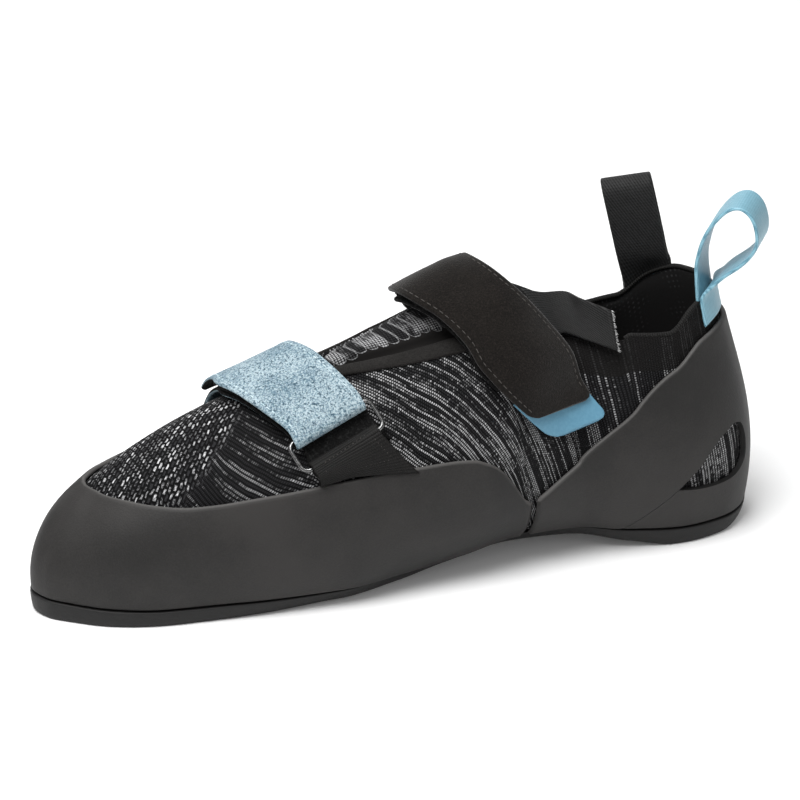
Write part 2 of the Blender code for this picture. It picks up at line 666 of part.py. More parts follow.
def seat_frame(seat, down):
    """Centre and axes of a ring on the upper: along its bars, towards its keeper, outward."""
    front = girth_point(seat.front_place, seat.front_girth, 0.0)
    rear = girth_point(seat.rear_place, seat.rear_girth, 0.0)
    across = unit(front - rear)
    normal = girth_normal((seat.front_place + seat.rear_place) / 2,
                          (seat.front_girth + seat.rear_girth) / 2)
    normal = unit(normal - (normal @ across) * across)
    toward = unit(np.cross(normal, across)) * down
    return (front + rear) / 2, across, toward, normal


def bar_row(bar, across, toward, normal, radius, width, back):
    """Row of ribbon points lying under a bar, a little before it."""
    shares = np.array(RIBBON_COLUMNS)
    return np.array([bar - radius * normal - back * toward + across * width * (0.5 - share)
                     for share in shares])


def fold_rows(bar, across, toward, normal, radius, width, steps=6):
    """Half turn of a ribbon round a bar, from under it to over it."""
    rows = []
    for angle in np.radians(np.linspace(-90, 90, steps + 1)):
        turn = radius * (math.cos(angle) * toward + math.sin(angle) * normal)
        rows.append([bar + turn + across * width * (0.5 - share) for share in RIBBON_COLUMNS])
    return np.array(rows)


def grid_normals(grid):
    """Normals of a grid of ribbon points, outward for rows that run from front to rear."""
    along = np.gradient(grid, axis=0)
    across = np.gradient(grid, axis=1)
    return unit(np.cross(along, across))


def lay_ribbon(rows, bar, frame, radius, width, outward_sign, end_radius, back):
    """Lower run through rows to a bar, its turn and its return run over itself.

    end_radius is half the distance between the runs at the sewn end. Returns both runs and the
    turn as grids from the sewn end to the bar and back."""
    across, toward, normal = frame
    rows = [*rows, bar_row(bar, across, toward, normal, radius, width, back),
            bar_row(bar, across, toward, normal, radius, width, 0.0)]
    lower = smooth_path(rows)
    normals = outward_sign * grid_normals(lower)
    share = np.minimum(np.arange(len(lower)) / (RUN_STEPS * 2.0), 1.0)
    share = share * share * (3 - 2 * share)
    spread = 2 * (end_radius + (radius - end_radius) * share)
    upper = lower + spread[:, None, None] * normals
    turn = fold_rows(bar, across, toward, normal, radius, width)
    return lower, turn[1:-1], upper


def wire_ring(name, middle, across, toward, width, collection):
    """Rounded rectangle of wire about a centre."""
    corner = 0.0026
    half_height = RING_HEIGHT / 2
    half_width = width / 2 + RING_WIRE + 0.0012
    points = []
    for x_sign, y_sign, start in ((1, 1, 0), (-1, 1, 90), (-1, -1, 180), (1, -1, 270)):
        hub = middle + across * x_sign * (half_width - corner) + toward * y_sign * (half_height - corner)
        for angle in np.radians(start + np.linspace(0, 90, 4)):
            points.append(hub + corner * (math.cos(angle) * across + math.sin(angle) * toward))
    curve = bpy.data.curves.new(name, "CURVE")
    curve.dimensions = "3D"
    spline = curve.splines.new("POLY")
    spline.points.add(len(points) - 1)
    for slot, point in zip(spline.points, points):
        slot.co = (*point, 1.0)
    spline.use_cyclic_u = True
    curve.bevel_depth = RING_WIRE
    curve.bevel_resolution = 2
    curve.use_fill_caps = True
    return add_object(name, curve, "wire", collection)


def round_tip(grid, setback):
    """Sets back the corners of a ribbon's first row by a share of the step to its next one."""
    grid = np.array(grid)
    for column in (0, -1):
        grid[0][column] = grid[0][column] + setback * (grid[1][column] - grid[0][column])
    return grid


def build_strap_set(name, rails, seat, keeper_rails, width, down, finish_name, collection,
                    hook_rows, free_rows=(), free_from=0):
    """Strap, its hook layer, wire ring and webbing keeper; down is 1 for a ring on the medial side."""
    middle, across, toward, normal = seat_frame(seat, down)
    middle = middle + RING_LIFT * normal
    frame = (across, toward, normal)

    radius = RING_WIRE + FIT_GAP + STRAP / 2
    base = SEAM_GAP + STRAP / 2
    rows = [rail_row(rail, (base + rail.front_clear * STRAP_CLEAR, base + rail.rear_clear * STRAP_CLEAR))
            for rail in rails]
    bar = middle - RING_HEIGHT / 2 * toward
    lower, turn, upper = lay_ribbon(rows, bar, frame, radius, width, down, radius, 0.0040)
    back = upper[::-1][:len(upper) - free_from]
    if len(free_rows):
        over_tab = 4 * SEAM_GAP + TAB + STRAP / 2
        tail = [rail_row(rail, (over_tab + rail.front_clear * STRAP_CLEAR,
                                over_tab + rail.rear_clear * STRAP_CLEAR)) for rail in free_rows]
        joined = smooth_path([*tail, upper[0], upper[RUN_STEPS]])
        back = np.array([*upper[::-1][:-RUN_STEPS - 1], *joined[::-1]])
    back = round_tip(back[::-1], 0.7)[::-1]
    strap = np.array([*lower, *turn, *back])
    shell(name + "_strap", strap[::down], STRAP, 0, finish_name, collection)

    normals = down * grid_normals(lower)
    hook = (lower + radius * normals)[hook_rows[0]:hook_rows[1]]
    narrow = hook + 0.02 * (hook[:, ::-1] - hook)
    shell(name + "_strap_hook", narrow[::down], HOOK, 0, "black_webbing", collection)

    keeper_radius = RING_WIRE + FIT_GAP + KEEPER / 2
    keeper_base = SEAM_GAP + KEEPER / 2
    keeper_width = width - 0.0010
    low_bar = middle + RING_HEIGHT / 2 * toward
    sewn_rail = keeper_rails[0]
    sewn = rail_row(sewn_rail, (keeper_base + sewn_rail.front_clear * STRAP_CLEAR,
                                keeper_base + sewn_rail.rear_clear * STRAP_CLEAR))
    near = bar_row(low_bar, across, -toward, normal, keeper_radius, keeper_width, 0.0035)
    keeper_rows = [sewn, (sewn + near) / 2]
    low_frame = (across, -toward, normal)
    low, low_turn, high = lay_ribbon(keeper_rows, low_bar, low_frame, keeper_radius, keeper_width,
                                     -down, KEEPER / 2 + FIT_GAP, 0.0020)
    keeper = np.array([*low, *low_turn, *high[::-1]])
    shell(name + "_keeper", keeper[::-down], KEEPER, 0, "black_webbing", collection)
    wire_ring(name + "_ring", middle, across, toward, width, collection)


def build_rear_tab(collection):
    """Smooth blue tab that sticks out under the rear strap's free end."""
    lift = 2 * SEAM_GAP + TAB / 2
    grid = smooth_path([rail_row(rail, (lift, lift + 2 * SEAM_GAP)) for rail in REAR_TAB])
    grid = round_tip(grid[::-1], 0.7)
    return shell("rear_strap_tab", grid, TAB, 0, "blue_tab", collection)


# Webbing sewn to the tongue, from under the rear strap back over the medial collar edge; rise is
# how far its upper edge stands over the ridge or collar, as a share of the loops' height
TabRow = namedtuple("TabRow", "low_place low_girth high_place high_girth rise lift")
TONGUE_TAB = [
    TabRow(10.98, 1.200, 10.45, 1.055, 0.00, 1.0),
    TabRow(11.14, 1.169, 10.85, 1.035, 0.00, 1.1),
    TabRow(11.39, 1.131, 11.28, 1.000, 0.04, 1.3),
    TabRow(11.61, 1.098, 11.50, 1.000, 0.10, 1.5),
    TabRow(11.87, 1.078, 11.88, 1.000, 0.17, 1.8),
]


def build_tongue_tab(collection):
    """Webbing tab laid over the throat's medial edge; its upper rail stands clear of the collar."""
    lift = 2 * SEAM_GAP + BINDING + KEEPER / 2
    low = smooth_path([girth_point(row.low_place, row.low_girth, lift * row.lift) for row in TONGUE_TAB])
    high = smooth_path([girth_point(row.high_place, row.high_girth, lift * row.lift)
                        + np.array([0, 0, row.rise * LOOP_HEIGHT]) for row in TONGUE_TAB])
    grid = [[a + (b - a) * share for share in np.linspace(0, 1, 3)] for a, b in zip(low, high)]
    return shell("tongue_tab", grid, KEEPER, 0, "black_webbing", collection)


# Pull loops: outward and upward from the collar edge, as shares of the loop's height
LoopRow = namedtuple("LoopRow", "out up")
MEDIAL_LOOP = [LoopRow(-0.070, 0.160), LoopRow(-0.070, 0.310), LoopRow(-0.010, 0.530),
               LoopRow(0.121, 0.720), LoopRow(0.242, 0.780), LoopRow(0.343, 0.720),
               LoopRow(0.395, 0.585), LoopRow(0.385, 0.455), LoopRow(0.290, 0.320),
               LoopRow(0.150, 0.200), LoopRow(0.075, 0.120)]
LATERAL_LOOP = [LoopRow(-0.070, 0.180), LoopRow(-0.065, 0.385), LoopRow(-0.055, 0.598),
                LoopRow(-0.040, 0.748), LoopRow(0.005, 0.817), LoopRow(0.055, 0.832),
                LoopRow(0.105, 0.802), LoopRow(0.135, 0.704), LoopRow(0.138, 0.500),
                LoopRow(0.115, 0.305), LoopRow(0.075, 0.140)]
INNER_LEG = (0.86, 0.93)             # height shares of the legs laid on the wall, in order
OUTER_LEG = (0.945, 0.895)
LOOP_SLOPE = 0.35                    # how much of the collar's own slope a loop takes on
LOOP_COLUMNS = (0.0, 1 / 3, 2 / 3, 1.0)


def wall_row(place, height, offset, width):
    """Points across a ribbon laid round the wall at one height, a given way off its face."""
    reach = np.linalg.norm(form_point(place + 0.1, height) - form_point(place - 0.1, height)) / 0.2
    across = place + (np.array(LOOP_COLUMNS) - 0.5) * width / reach
    return np.array([form_point(p, height) + offset * form_normal(p, height) for p in across])


def build_pull_loop(name, place, rows, width, lean, finish_name, collection):
    """Webbing loop straddling the collar: one leg inside the wall, one outside above the rand."""
    edge = form_point(place, 1.0)
    out = outward(place)
    ahead = form_point(place + 0.1, 1.0) - form_point(place - 0.1, 1.0)
    side = unit(ahead * np.array([1.0, 1.0, LOOP_SLOPE]))
    up = np.array([0.0, 0.0, 1.0]) + lean * side
    inside = -(WALL + 1.5 * SEAM_GAP + LOOP / 2)
    outside = SEAM_GAP + LOOP / 2
    clear = 0.0020 * up
    grid = [wall_row(place, share, inside, width) for share in INNER_LEG]
    grid.append(wall_row(place, 1.0, inside, width) + clear)
    for row in rows:
        centre = edge + LOOP_HEIGHT * (row.out * out + row.up * up)
        grid.append(np.array([centre + side * width * (share - 0.5) for share in LOOP_COLUMNS]))
    grid.append(wall_row(place, 1.0, outside, width) + clear)
    grid += [wall_row(place, share, outside, width) for share in OUTER_LEG]
    return shell(name, smooth_path(grid), LOOP, 0, finish_name, collection)


def main():
    """Builds every piece of the shoe."""
    for old in list(bpy.data.objects):
        bpy.data.objects.remove(old)
    collection = bpy.data.collections.new("climbing_shoe")
    cutters = bpy.data.collections.new("cutters")
    bpy.context.scene.collection.children.link(collection)
    bpy.context.scene.collection.children.link(cutters)
    last = bpy.data.objects.new("last", None)
    last.location = (-HEEL_SEAT, 0.0, 0.0)
    collection.objects.link(last)

    build_outsole(collection)
    build_insole(collection)
    build_upper(collection)
    build_tongue(collection)
    build_throat_binding("throat_binding_medial", -1, collection)
    build_throat_binding("throat_binding_lateral", 1, collection)
    build_toe_rand(collection)
    build_heel_rand(collection, cutters)
    build_strap_set("front", FRONT_RAILS, FRONT_SEAT, FRONT_KEEPER, FRONT_STRAP_WIDTH, 1,
                    "blue_suede", collection, hook_rows=(5, -2), free_from=2)
    build_strap_set("rear", REAR_RAILS, REAR_SEAT, REAR_KEEPER, REAR_STRAP_WIDTH, -1,
                    "black_suede", collection, hook_rows=(1, 8), free_rows=REAR_END)
    build_rear_tab(collection)
    build_tongue_tab(collection)
    build_pull_loop("pull_loop_medial", -14.90, MEDIAL_LOOP, LOOP_WIDTH, 0.0, "blue_webbing",
                    collection)
    build_pull_loop("pull_loop_lateral", 14.00, LATERAL_LOOP, LOOP_WIDTH, -0.24, "black_webbing",
                    collection)
    bpy.context.view_layer.update()


main()
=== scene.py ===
"""Dressed right climbing shoe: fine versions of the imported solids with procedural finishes.

Lengths are in metres. Tables use the shoe's own terms: a section number that runs from 0 at the toe
tip to 16 at the back of the heel, negative on the medial side, and a height share that runs from 0
at the sole to 1 at the ridge or collar.
"""

import logging
import math
from dataclasses import dataclass, field
from enum import Enum
from typing import NamedTuple

import bmesh
import bpy
import numpy as np
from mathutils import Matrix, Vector


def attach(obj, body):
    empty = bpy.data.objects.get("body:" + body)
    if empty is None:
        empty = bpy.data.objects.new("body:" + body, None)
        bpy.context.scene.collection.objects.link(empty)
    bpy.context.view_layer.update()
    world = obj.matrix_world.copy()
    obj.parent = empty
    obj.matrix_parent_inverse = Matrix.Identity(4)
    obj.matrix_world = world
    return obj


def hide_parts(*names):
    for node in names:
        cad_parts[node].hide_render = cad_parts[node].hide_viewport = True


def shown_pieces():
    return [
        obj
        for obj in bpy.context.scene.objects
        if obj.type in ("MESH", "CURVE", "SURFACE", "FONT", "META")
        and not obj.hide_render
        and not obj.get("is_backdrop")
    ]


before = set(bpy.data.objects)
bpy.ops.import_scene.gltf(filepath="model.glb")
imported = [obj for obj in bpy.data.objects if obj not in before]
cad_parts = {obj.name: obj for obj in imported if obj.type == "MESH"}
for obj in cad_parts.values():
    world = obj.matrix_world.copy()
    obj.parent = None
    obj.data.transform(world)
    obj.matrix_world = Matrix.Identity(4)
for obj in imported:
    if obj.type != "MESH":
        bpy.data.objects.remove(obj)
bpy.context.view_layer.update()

LOG = logging.getLogger("climbing_shoe")
HEEL_SEAT = 0.038                    # from the back of the upper to the origin
TO_WORLD = np.array([-HEEL_SEAT, 0.0, 0.0])
MERGE_DISTANCE = 0.000004
SHARP_ANGLE = math.radians(50)
ROOT = "root"
Array = np.ndarray
Socket = bpy.types.NodeSocket
Material = bpy.types.Material
Object = bpy.types.Object


# The upper's form


class Edge(NamedTuple):
    """Lower edge of the upper at a section: medial and lateral x, y and z shares."""

    med_x: float
    med_y: float
    lat_x: float
    lat_y: float
    med_z: float
    lat_z: float


class Top(NamedTuple):
    """Upper edge at a section: x, y on each side and z on each side."""

    x: float
    med_y: float
    lat_y: float
    med_z: float
    lat_z: float


class Swell(NamedTuple):
    """How the wall leaves the lower edge and meets the upper one, in degrees and shares."""

    med_flare: float
    lat_flare: float
    med_dip: float
    lat_dip: float
    med_pull: float
    lat_pull: float


LOWER_EDGE = (
    Edge(1.000, 0.078, 1.000, 0.078, 1.25, 1.25),
    Edge(0.990, 0.150, 0.991, -0.006, 1.22, 1.22),
    Edge(0.962, 0.217, 0.970, -0.094, 1.15, 1.15),
    Edge(0.918, 0.294, 0.934, -0.189, 1.07, 1.07),
    Edge(0.861, 0.344, 0.880, -0.311, 1.00, 1.00),
    Edge(0.789, 0.367, 0.808, -0.428, 1.00, 1.00),
    Edge(0.710, 0.389, 0.725, -0.500, 1.00, 1.00),
    Edge(0.626, 0.394, 0.638, -0.522, 1.00, 1.00),
    Edge(0.543, 0.335, 0.546, -0.483, 1.02, 1.00),
    Edge(0.459, 0.262, 0.455, -0.417, 1.12, 1.05),
    Edge(0.372, 0.215, 0.368, -0.361, 1.50, 1.18),
    Edge(0.288, 0.350, 0.285, -0.492, 1.62, 1.25),
    Edge(0.213, 0.430, 0.205, -0.475, 1.33, 1.17),
    Edge(0.140, 0.460, 0.137, -0.458, 1.13, 1.13),
    Edge(0.080, 0.408, 0.078, -0.400, 1.13, 1.13),
    Edge(0.038, 0.258, 0.038, -0.258, 1.13, 1.13),
    Edge(0.016, 0.000, 0.016, 0.000, 1.13, 1.13),
)
UPPER_EDGE = (
    Top(0.911, 0.000, 0.000, 0.433, 0.433),
    Top(0.899, 0.000, 0.000, 0.458, 0.458),
    Top(0.877, 0.000, 0.000, 0.492, 0.492),
    Top(0.844, 0.005, 0.005, 0.545, 0.545),
    Top(0.801, 0.010, 0.010, 0.602, 0.602),
    Top(0.748, 0.010, 0.010, 0.664, 0.664),
    Top(0.683, 0.010, 0.010, 0.725, 0.725),
    Top(0.611, 0.010, 0.010, 0.790, 0.790),
    Top(0.535, 0.010, 0.010, 0.872, 0.872),
    Top(0.455, 0.010, 0.010, 0.968, 0.968),
    Top(0.384, 0.010, 0.010, 1.008, 1.008),
    Top(0.304, 0.015, 0.015, 1.020, 1.020),
    Top(0.216, 0.400, -0.385, 0.915, 0.850),
    Top(0.163, 0.425, -0.425, 0.905, 0.855),
    Top(0.122, 0.362, -0.370, 0.985, 0.950),
    Top(0.086, 0.217, -0.220, 1.020, 1.005),
    Top(0.067, 0.000, 0.000, 1.010, 1.010),
)
SWELL = (
    Swell(6, 6, 32, 32, 0.42, 0.42),
    Swell(7, 7, 30, 30, 0.42, 0.42),
    Swell(9, 9, 24, 26, 0.42, 0.40),
    Swell(12, 12, 16, 20, 0.42, 0.37),
    Swell(16, 16, 12, 16, 0.42, 0.35),
    Swell(20, 20, 10, 15, 0.42, 0.34),
    Swell(24, 24, 9, 14, 0.42, 0.34),
    Swell(28, 28, 9, 13, 0.42, 0.35),
    Swell(42, 33, 10, 12, 0.42, 0.38),
    Swell(58, 37, 12, 14, 0.42, 0.40),
    Swell(60, 38, 14, 16, 0.42, 0.42),
    Swell(48, 34, 24, 24, 0.42, 0.42),
    Swell(30, 26, 76, 76, 0.42, 0.42),
    Swell(18, 16, 82, 82, 0.42, 0.42),
    Swell(11, 11, 82, 82, 0.42, 0.42),
    Swell(9, 9, 79, 79, 0.42, 0.42),
    Swell(8, 8, 78, 78, 0.42, 0.42),
)
LAST_ROW = 16
FIRST_HEEL_ROW = 11
FIRST_COLLAR_ROW = 11


def unit(vectors: Array) -> Array:
    """Vectors scaled to length one."""
    return vectors / np.maximum(np.linalg.norm(vectors, axis=-1, keepdims=True), 1e-12)


def closed(by_row: dict[int, tuple[float, ...]]) -> Array:
    """Rows in order round the shoe, from the back of the heel along the medial side and back."""
    return np.array([by_row[row] for row in range(-LAST_ROW, LAST_ROW)], float)


def smooth_rows(rows: Array, place: Array) -> Array:
    """Value of a closed table at section numbers, by cubics that never overshoot its rows.

    Args:
        rows: closed table, one row to a section.
        place: section numbers.

    Returns:
        The values.
    """
    count = len(rows)
    place = (np.asarray(place, float) + LAST_ROW) % count
    low = np.floor(place).astype(int) % count
    share = (place - np.floor(place))[..., None]
    step = np.roll(rows, -1, axis=0) - rows
    before = np.roll(step, 1, axis=0)
    same = step * before > 0
    slope = np.where(same, 2 * step * before / np.where(same, step + before, 1), 0)
    high = (low + 1) % count
    a, b = rows[low], rows[high]
    return (a * (1 + 2 * share) * (1 - share) ** 2 + b * share ** 2 * (3 - 2 * share)
            + slope[low] * share * (1 - share) ** 2 - slope[high] * share ** 2 * (1 - share))


def table_value(rows: tuple, place: Array) -> Array:
    """Value of a two-column table at section numbers, the same on both sides of the shoe."""
    table = np.array(rows, float)
    return np.interp(np.abs(place), table[:, 0], table[:, 1])


@dataclass
class Form:
    """Outer face of the upper, from which every other piece is worked out."""

    length: float = 0.2635               # of the upper, toe to heel
    ball_width: float = 0.0900
    heel_width: float = 0.0600
    instep_height: float = 0.0970
    heel_height: float = 0.0880
    sole_toe: float = 0.0060
    upper_pull: float = 0.86
    ridge_blend: float = 0.12
    lower: Array = field(init=False)
    upper: Array = field(init=False)
    angles: Array = field(init=False)

    def __post_init__(self) -> None:
        """Turns the tables into world values."""
        lower, upper, angles = {}, {}, {}
        for row, (edge, top, swell) in enumerate(zip(LOWER_EDGE, UPPER_EDGE, SWELL)):
            width = self.heel_width if row >= FIRST_HEEL_ROW else self.ball_width
            height = self.heel_height if row >= FIRST_COLLAR_ROW else self.instep_height
            lower[-row] = (edge.med_x * self.length, edge.med_y * width, edge.med_z * self.sole_toe)
            lower[row] = (edge.lat_x * self.length, edge.lat_y * width, edge.lat_z * self.sole_toe)
            upper[-row] = (top.x * self.length, top.med_y * width, top.med_z * height)
            upper[row] = (top.x * self.length, top.lat_y * width, top.lat_z * height)
            angles[-row] = (swell.med_flare, swell.med_dip, swell.med_pull)
            angles[row] = (swell.lat_flare, swell.lat_dip, swell.lat_pull)
        self.lower, self.upper, self.angles = closed(lower), closed(upper), closed(angles)

    def outward(self, place: Array) -> Array:
        """Horizontal unit normals of the lower edge, pointing away from the foot.

        Args:
            place: section numbers.

        Returns:
            The normals.
        """
        along = smooth_rows(self.lower, np.asarray(place) + 0.05) - smooth_rows(
            self.lower, np.asarray(place) - 0.05)
        return unit(np.stack([-along[..., 1], along[..., 0], 0 * along[..., 0]], -1))

    def point(self, place: Array, height: Array) -> Array:
        """Points of the upper's outer face at section numbers and height shares.

        Args:
            place: section numbers.
            height: height shares.

        Returns:
            The points.
        """
        place, height = np.broadcast_arrays(np.asarray(place, float), np.asarray(height, float))
        foot, top = smooth_rows(self.lower, place), smooth_rows(self.upper, place)
        flare, dip, pull = np.moveaxis(smooth_rows(self.angles, place), -1, 0)[..., None]
        flare, dip = np.radians(flare), np.radians(dip)
        out, up = self.outward(place), np.array([0.0, 0.0, 1.0])
        chord = np.linalg.norm(top - foot, axis=-1, keepdims=True)
        rising = foot + pull * chord * (np.sin(flare) * out + np.cos(flare) * up)
        falling = top + self.upper_pull * pull * chord * (np.cos(dip) * out - np.sin(dip) * up)
        h = height[..., None]
        return ((1 - h) ** 3 * foot + 3 * h * (1 - h) ** 2 * rising
                + 3 * h ** 2 * (1 - h) * falling + h ** 3 * top)

    def normal(self, place: Array, height: Array) -> Array:
        """Outward unit normals of the upper's outer face.

        Args:
            place: section numbers.
            height: height shares.

        Returns:
            The normals.
        """
        place, height = np.broadcast_arrays(np.asarray(place, float), np.asarray(height, float))
        low = np.clip(height - 0.02, 0, 0.97)
        rise = self.point(place, low + 0.03) - self.point(place, low)
        along = self.point(place + 0.04, height) - self.point(place - 0.04, height)
        flat = np.linalg.norm(along, axis=-1, keepdims=True) < 1e-7
        along = np.where(flat, np.cross(np.array([0, 0, 1.0]), self.outward(place)), along)
        return unit(np.cross(rise, along))

    def girth_point(self, place: Array, girth: Array, lift: float = 0.0) -> Array:
        """Points at sections and girths: 0 lateral sole edge, 1 ridge, 2 medial sole edge.

        Args:
            place: section numbers.
            girth: girths, 0 lateral sole edge, 1 ridge, 2 medial sole edge.
            lift: distance outward from the face.

        Returns:
            The points.
        """
        place, girth = np.broadcast_arrays(np.asarray(place, float), np.asarray(girth, float))
        point = self.point(np.where(girth < 1, place, -place), np.minimum(girth, 2 - girth))
        return point + lift * self.girth_normal(place, girth) if lift else point

    def girth_normal(self, place: Array, girth: Array) -> Array:
        """Outward normals at sections and girths, rounded over the ridge.

        Args:
            place: section numbers.
            girth: girths, 0 lateral sole edge, 1 ridge, 2 medial sole edge.

        Returns:
            The normals.
        """
        place, girth = np.broadcast_arrays(np.asarray(place, float), np.asarray(girth, float))
        share = np.clip(0.5 + (girth - 1) / (2 * self.ridge_blend), 0, 1)[..., None]
        lateral = self.normal(place, np.minimum(girth, 1.0))
        medial = self.normal(-place, np.minimum(2 - girth, 1.0))
        return unit(share * medial + (1 - share) * lateral)


FORM = Form()


# Finishes


class Graph:
    """One material's node graph, with short calls for the nodes that the finishes use."""

    def __init__(self, name: str) -> None:
        """Makes an empty principled material.

        Args:
            name: the material's name.
        """
        self.material = bpy.data.materials.new(name)
        self.material.use_nodes = True
        self.tree = self.material.node_tree
        self.shader = self.tree.nodes["Principled BSDF"]

    def node(self, kind: str, **settings: object) -> bpy.types.Node:
        """New node with some of its settings.

        Args:
            kind: the node's type.
            settings: its properties.

        Returns:
            The node.
        """
        made = self.tree.nodes.new(kind)
        for key, value in settings.items():
            setattr(made, key, value)
        return made

    def put(self, socket: Socket, value: object) -> None:
        """Links a socket or sets its value.

        Args:
            socket: the input.
            value: an output, a number or a colour.
        """
        if isinstance(value, Socket):
            self.tree.links.new(value, socket)
        else:
            socket.default_value = value

    def math(self, operation: str, *values: object) -> Socket:
        """Result of a math node.

        Args:
            operation: the node's operation.
            values: its inputs, in order.

        Returns:
            The result's socket.
        """
        made = self.node("ShaderNodeMath", operation=operation)
        for socket, value in zip(made.inputs, values):
            self.put(socket, value)
        return made.outputs[0]

    def times(self, first: object, second: object) -> Socket:
        """Product of two numbers."""
        return self.math("MULTIPLY", first, second)

    def plus(self, first: object, second: object) -> Socket:
        """Sum of two numbers."""
        return self.math("ADD", first, second)

    def minus(self, first: object, second: object) -> Socket:
        """First number less the second."""
        return self.math("SUBTRACT", first, second)

    def over(self, first: object, second: object) -> Socket:
        """First number divided by the second."""
        return self.math("DIVIDE", first, second)

    def step(self, value: object, low: float, high: float) -> Socket:
        """Smooth rise from 0 at low to 1 at high.

        Args:
            value: the number that rises.
            low: where the result is 0.
            high: where the result is 1.

        Returns:
            The result's socket.
        """
        made = self.node("ShaderNodeMapRange", interpolation_type="SMOOTHSTEP")
        for name, amount in (("Value", value), ("From Min", low), ("From Max", high)):
            self.put(made.inputs[name], amount)
        return made.outputs[0]

    def wave(self, value: object) -> Socket:
        """Half sine over each whole step of a value, 0 at its ends and 1 in its middle."""
        return self.math("SINE", self.times(self.math("FRACT", value), math.pi))

    def mix(self, share: object, low: object, high: object) -> Socket:
        """Mix of two colours.

        Args:
            share: how much of the high one.
            low: colour at 0.
            high: colour at 1.

        Returns:
            The result's socket.
        """
        made = self.node("ShaderNodeMix", data_type="RGBA")
        self.put(made.inputs[0], share)
        self.put(made.inputs[6], low)
        self.put(made.inputs[7], high)
        return made.outputs[2]

    def scalar(self, share: object, low: object, high: object) -> Socket:
        """Mix of two numbers.

        Args:
            share: how much of the high one.
            low: number at 0.
            high: number at 1.

        Returns:
            The result's socket.
        """
        made = self.node("ShaderNodeMix", data_type="FLOAT")
        for index, value in enumerate((share, low, high)):
            self.put(made.inputs[(0, 2, 3)[index]], value)
        return made.outputs[0]

    def noise(self, vector: object, scale: float, detail: float = 2.0) -> Socket:
        """Noise value, about 0.5 in the mean.

        Args:
            vector: where the noise is read.
            scale: its scale.
            detail: its detail.

        Returns:
            The value's socket.
        """
        made = self.node("ShaderNodeTexNoise")
        self.put(made.inputs["Vector"], vector)
        made.inputs["Scale"].default_value = scale
        made.inputs["Detail"].default_value = detail
        return made.outputs["Fac"]

    def vector(self, x: object, y: object, z: object = 0.0) -> Socket:
        """Vector from three numbers.

        Args:
            x: first number.
            y: second number.
            z: third number.

        Returns:
            The result's socket.
        """
        made = self.node("ShaderNodeCombineXYZ")
        for socket, value in zip(made.inputs, (x, y, z)):
            self.put(socket, value)
        return made.outputs[0]

    def plane(self, name: str) -> tuple[Socket, Socket]:
        """The two coordinates of a UV map, in metres.

        Args:
            name: the map's name.

        Returns:
            The two sockets.
        """
        source = self.node("ShaderNodeUVMap", uv_map=name)
        split = self.node("ShaderNodeSeparateXYZ")
        self.put(split.inputs[0], source.outputs[0])
        return split.outputs[0], split.outputs[1]

    def value(self, name: str) -> Socket:
        """A mesh's own number by name."""
        return self.node("ShaderNodeAttribute", attribute_name=name).outputs["Fac"]

    def place(self) -> Socket:
        """Object coordinates, in metres."""
        return self.node("ShaderNodeTexCoord").outputs["Object"]

    def dress(self, colour: object, roughness: object, height: object = None, depth: float = 0.0,
              **inputs: object) -> Material:
        """Sets the shader: colour, roughness, bump and any other of its inputs.

        Args:
            colour: colour or socket.
            roughness: number or socket.
            height: socket for the bump.
            depth: height of the bump, in metres.
            inputs: other inputs, with _ for a space.

        Returns:
            The material.
        """
        self.put(self.shader.inputs["Base Color"], colour)
        self.put(self.shader.inputs["Roughness"], roughness)
        if height is not None:
            bump = self.node("ShaderNodeBump")
            bump.inputs["Distance"].default_value = depth
            self.put(bump.inputs["Height"], height)
            self.put(self.shader.inputs["Normal"], bump.outputs[0])
        for name, value in inputs.items():
            self.put(self.shader.inputs[name.replace("_", " ")], value)
        return self.material


Colour = tuple[float, float, float, float]


@dataclass(frozen=True)
class RubberFinish:
    """Matt climbing rubber with faint smudges and a paler band along its rounded top edge: a painted
    highlight.
    """

    name: str = "rubber"
    dark: Colour = (0.0078, 0.0072, 0.0068, 1)
    pale: Colour = (0.0218, 0.0200, 0.0190, 1)
    # Colour of the painted highlight along the rubber's top edge
    edge_highlight: Colour = (0.105, 0.101, 0.098, 1)
    seam: Colour = (0.006, 0.006, 0.006, 1)

    def make(self) -> Material:
        """Builds the material.

        Returns:
            The material.
        """
        g = Graph(self.name)
        place = g.place()
        smudge = g.noise(place, 22, 4)
        grain = g.noise(place, 1700, 3)
        cloud = g.noise(place, 70, 3)
        colour = g.mix(g.step(g.plus(smudge, g.times(grain, 0.25)), 0.44, 0.80),
                       self.dark, self.pale)
        # Paler colour on the band along the rounded top edge (the rim value): a painted highlight
        colour = g.mix(g.times(g.value("rim"), 0.75), colour, self.edge_highlight)
        seam = g.minus(1.0, g.step(g.math("ABSOLUTE", g.value("seam")), 0.0001, 0.00035))
        colour = g.mix(g.times(seam, 0.8), colour, self.seam)
        roughness = g.scalar(smudge, 0.50, 0.72)
        height = g.plus(g.times(grain, 0.22), g.times(cloud, 0.9))
        height = g.minus(height, g.times(seam, 1.2))
        return g.dress(colour, roughness, height, 0.00035, Specular_IOR_Level=0.36)


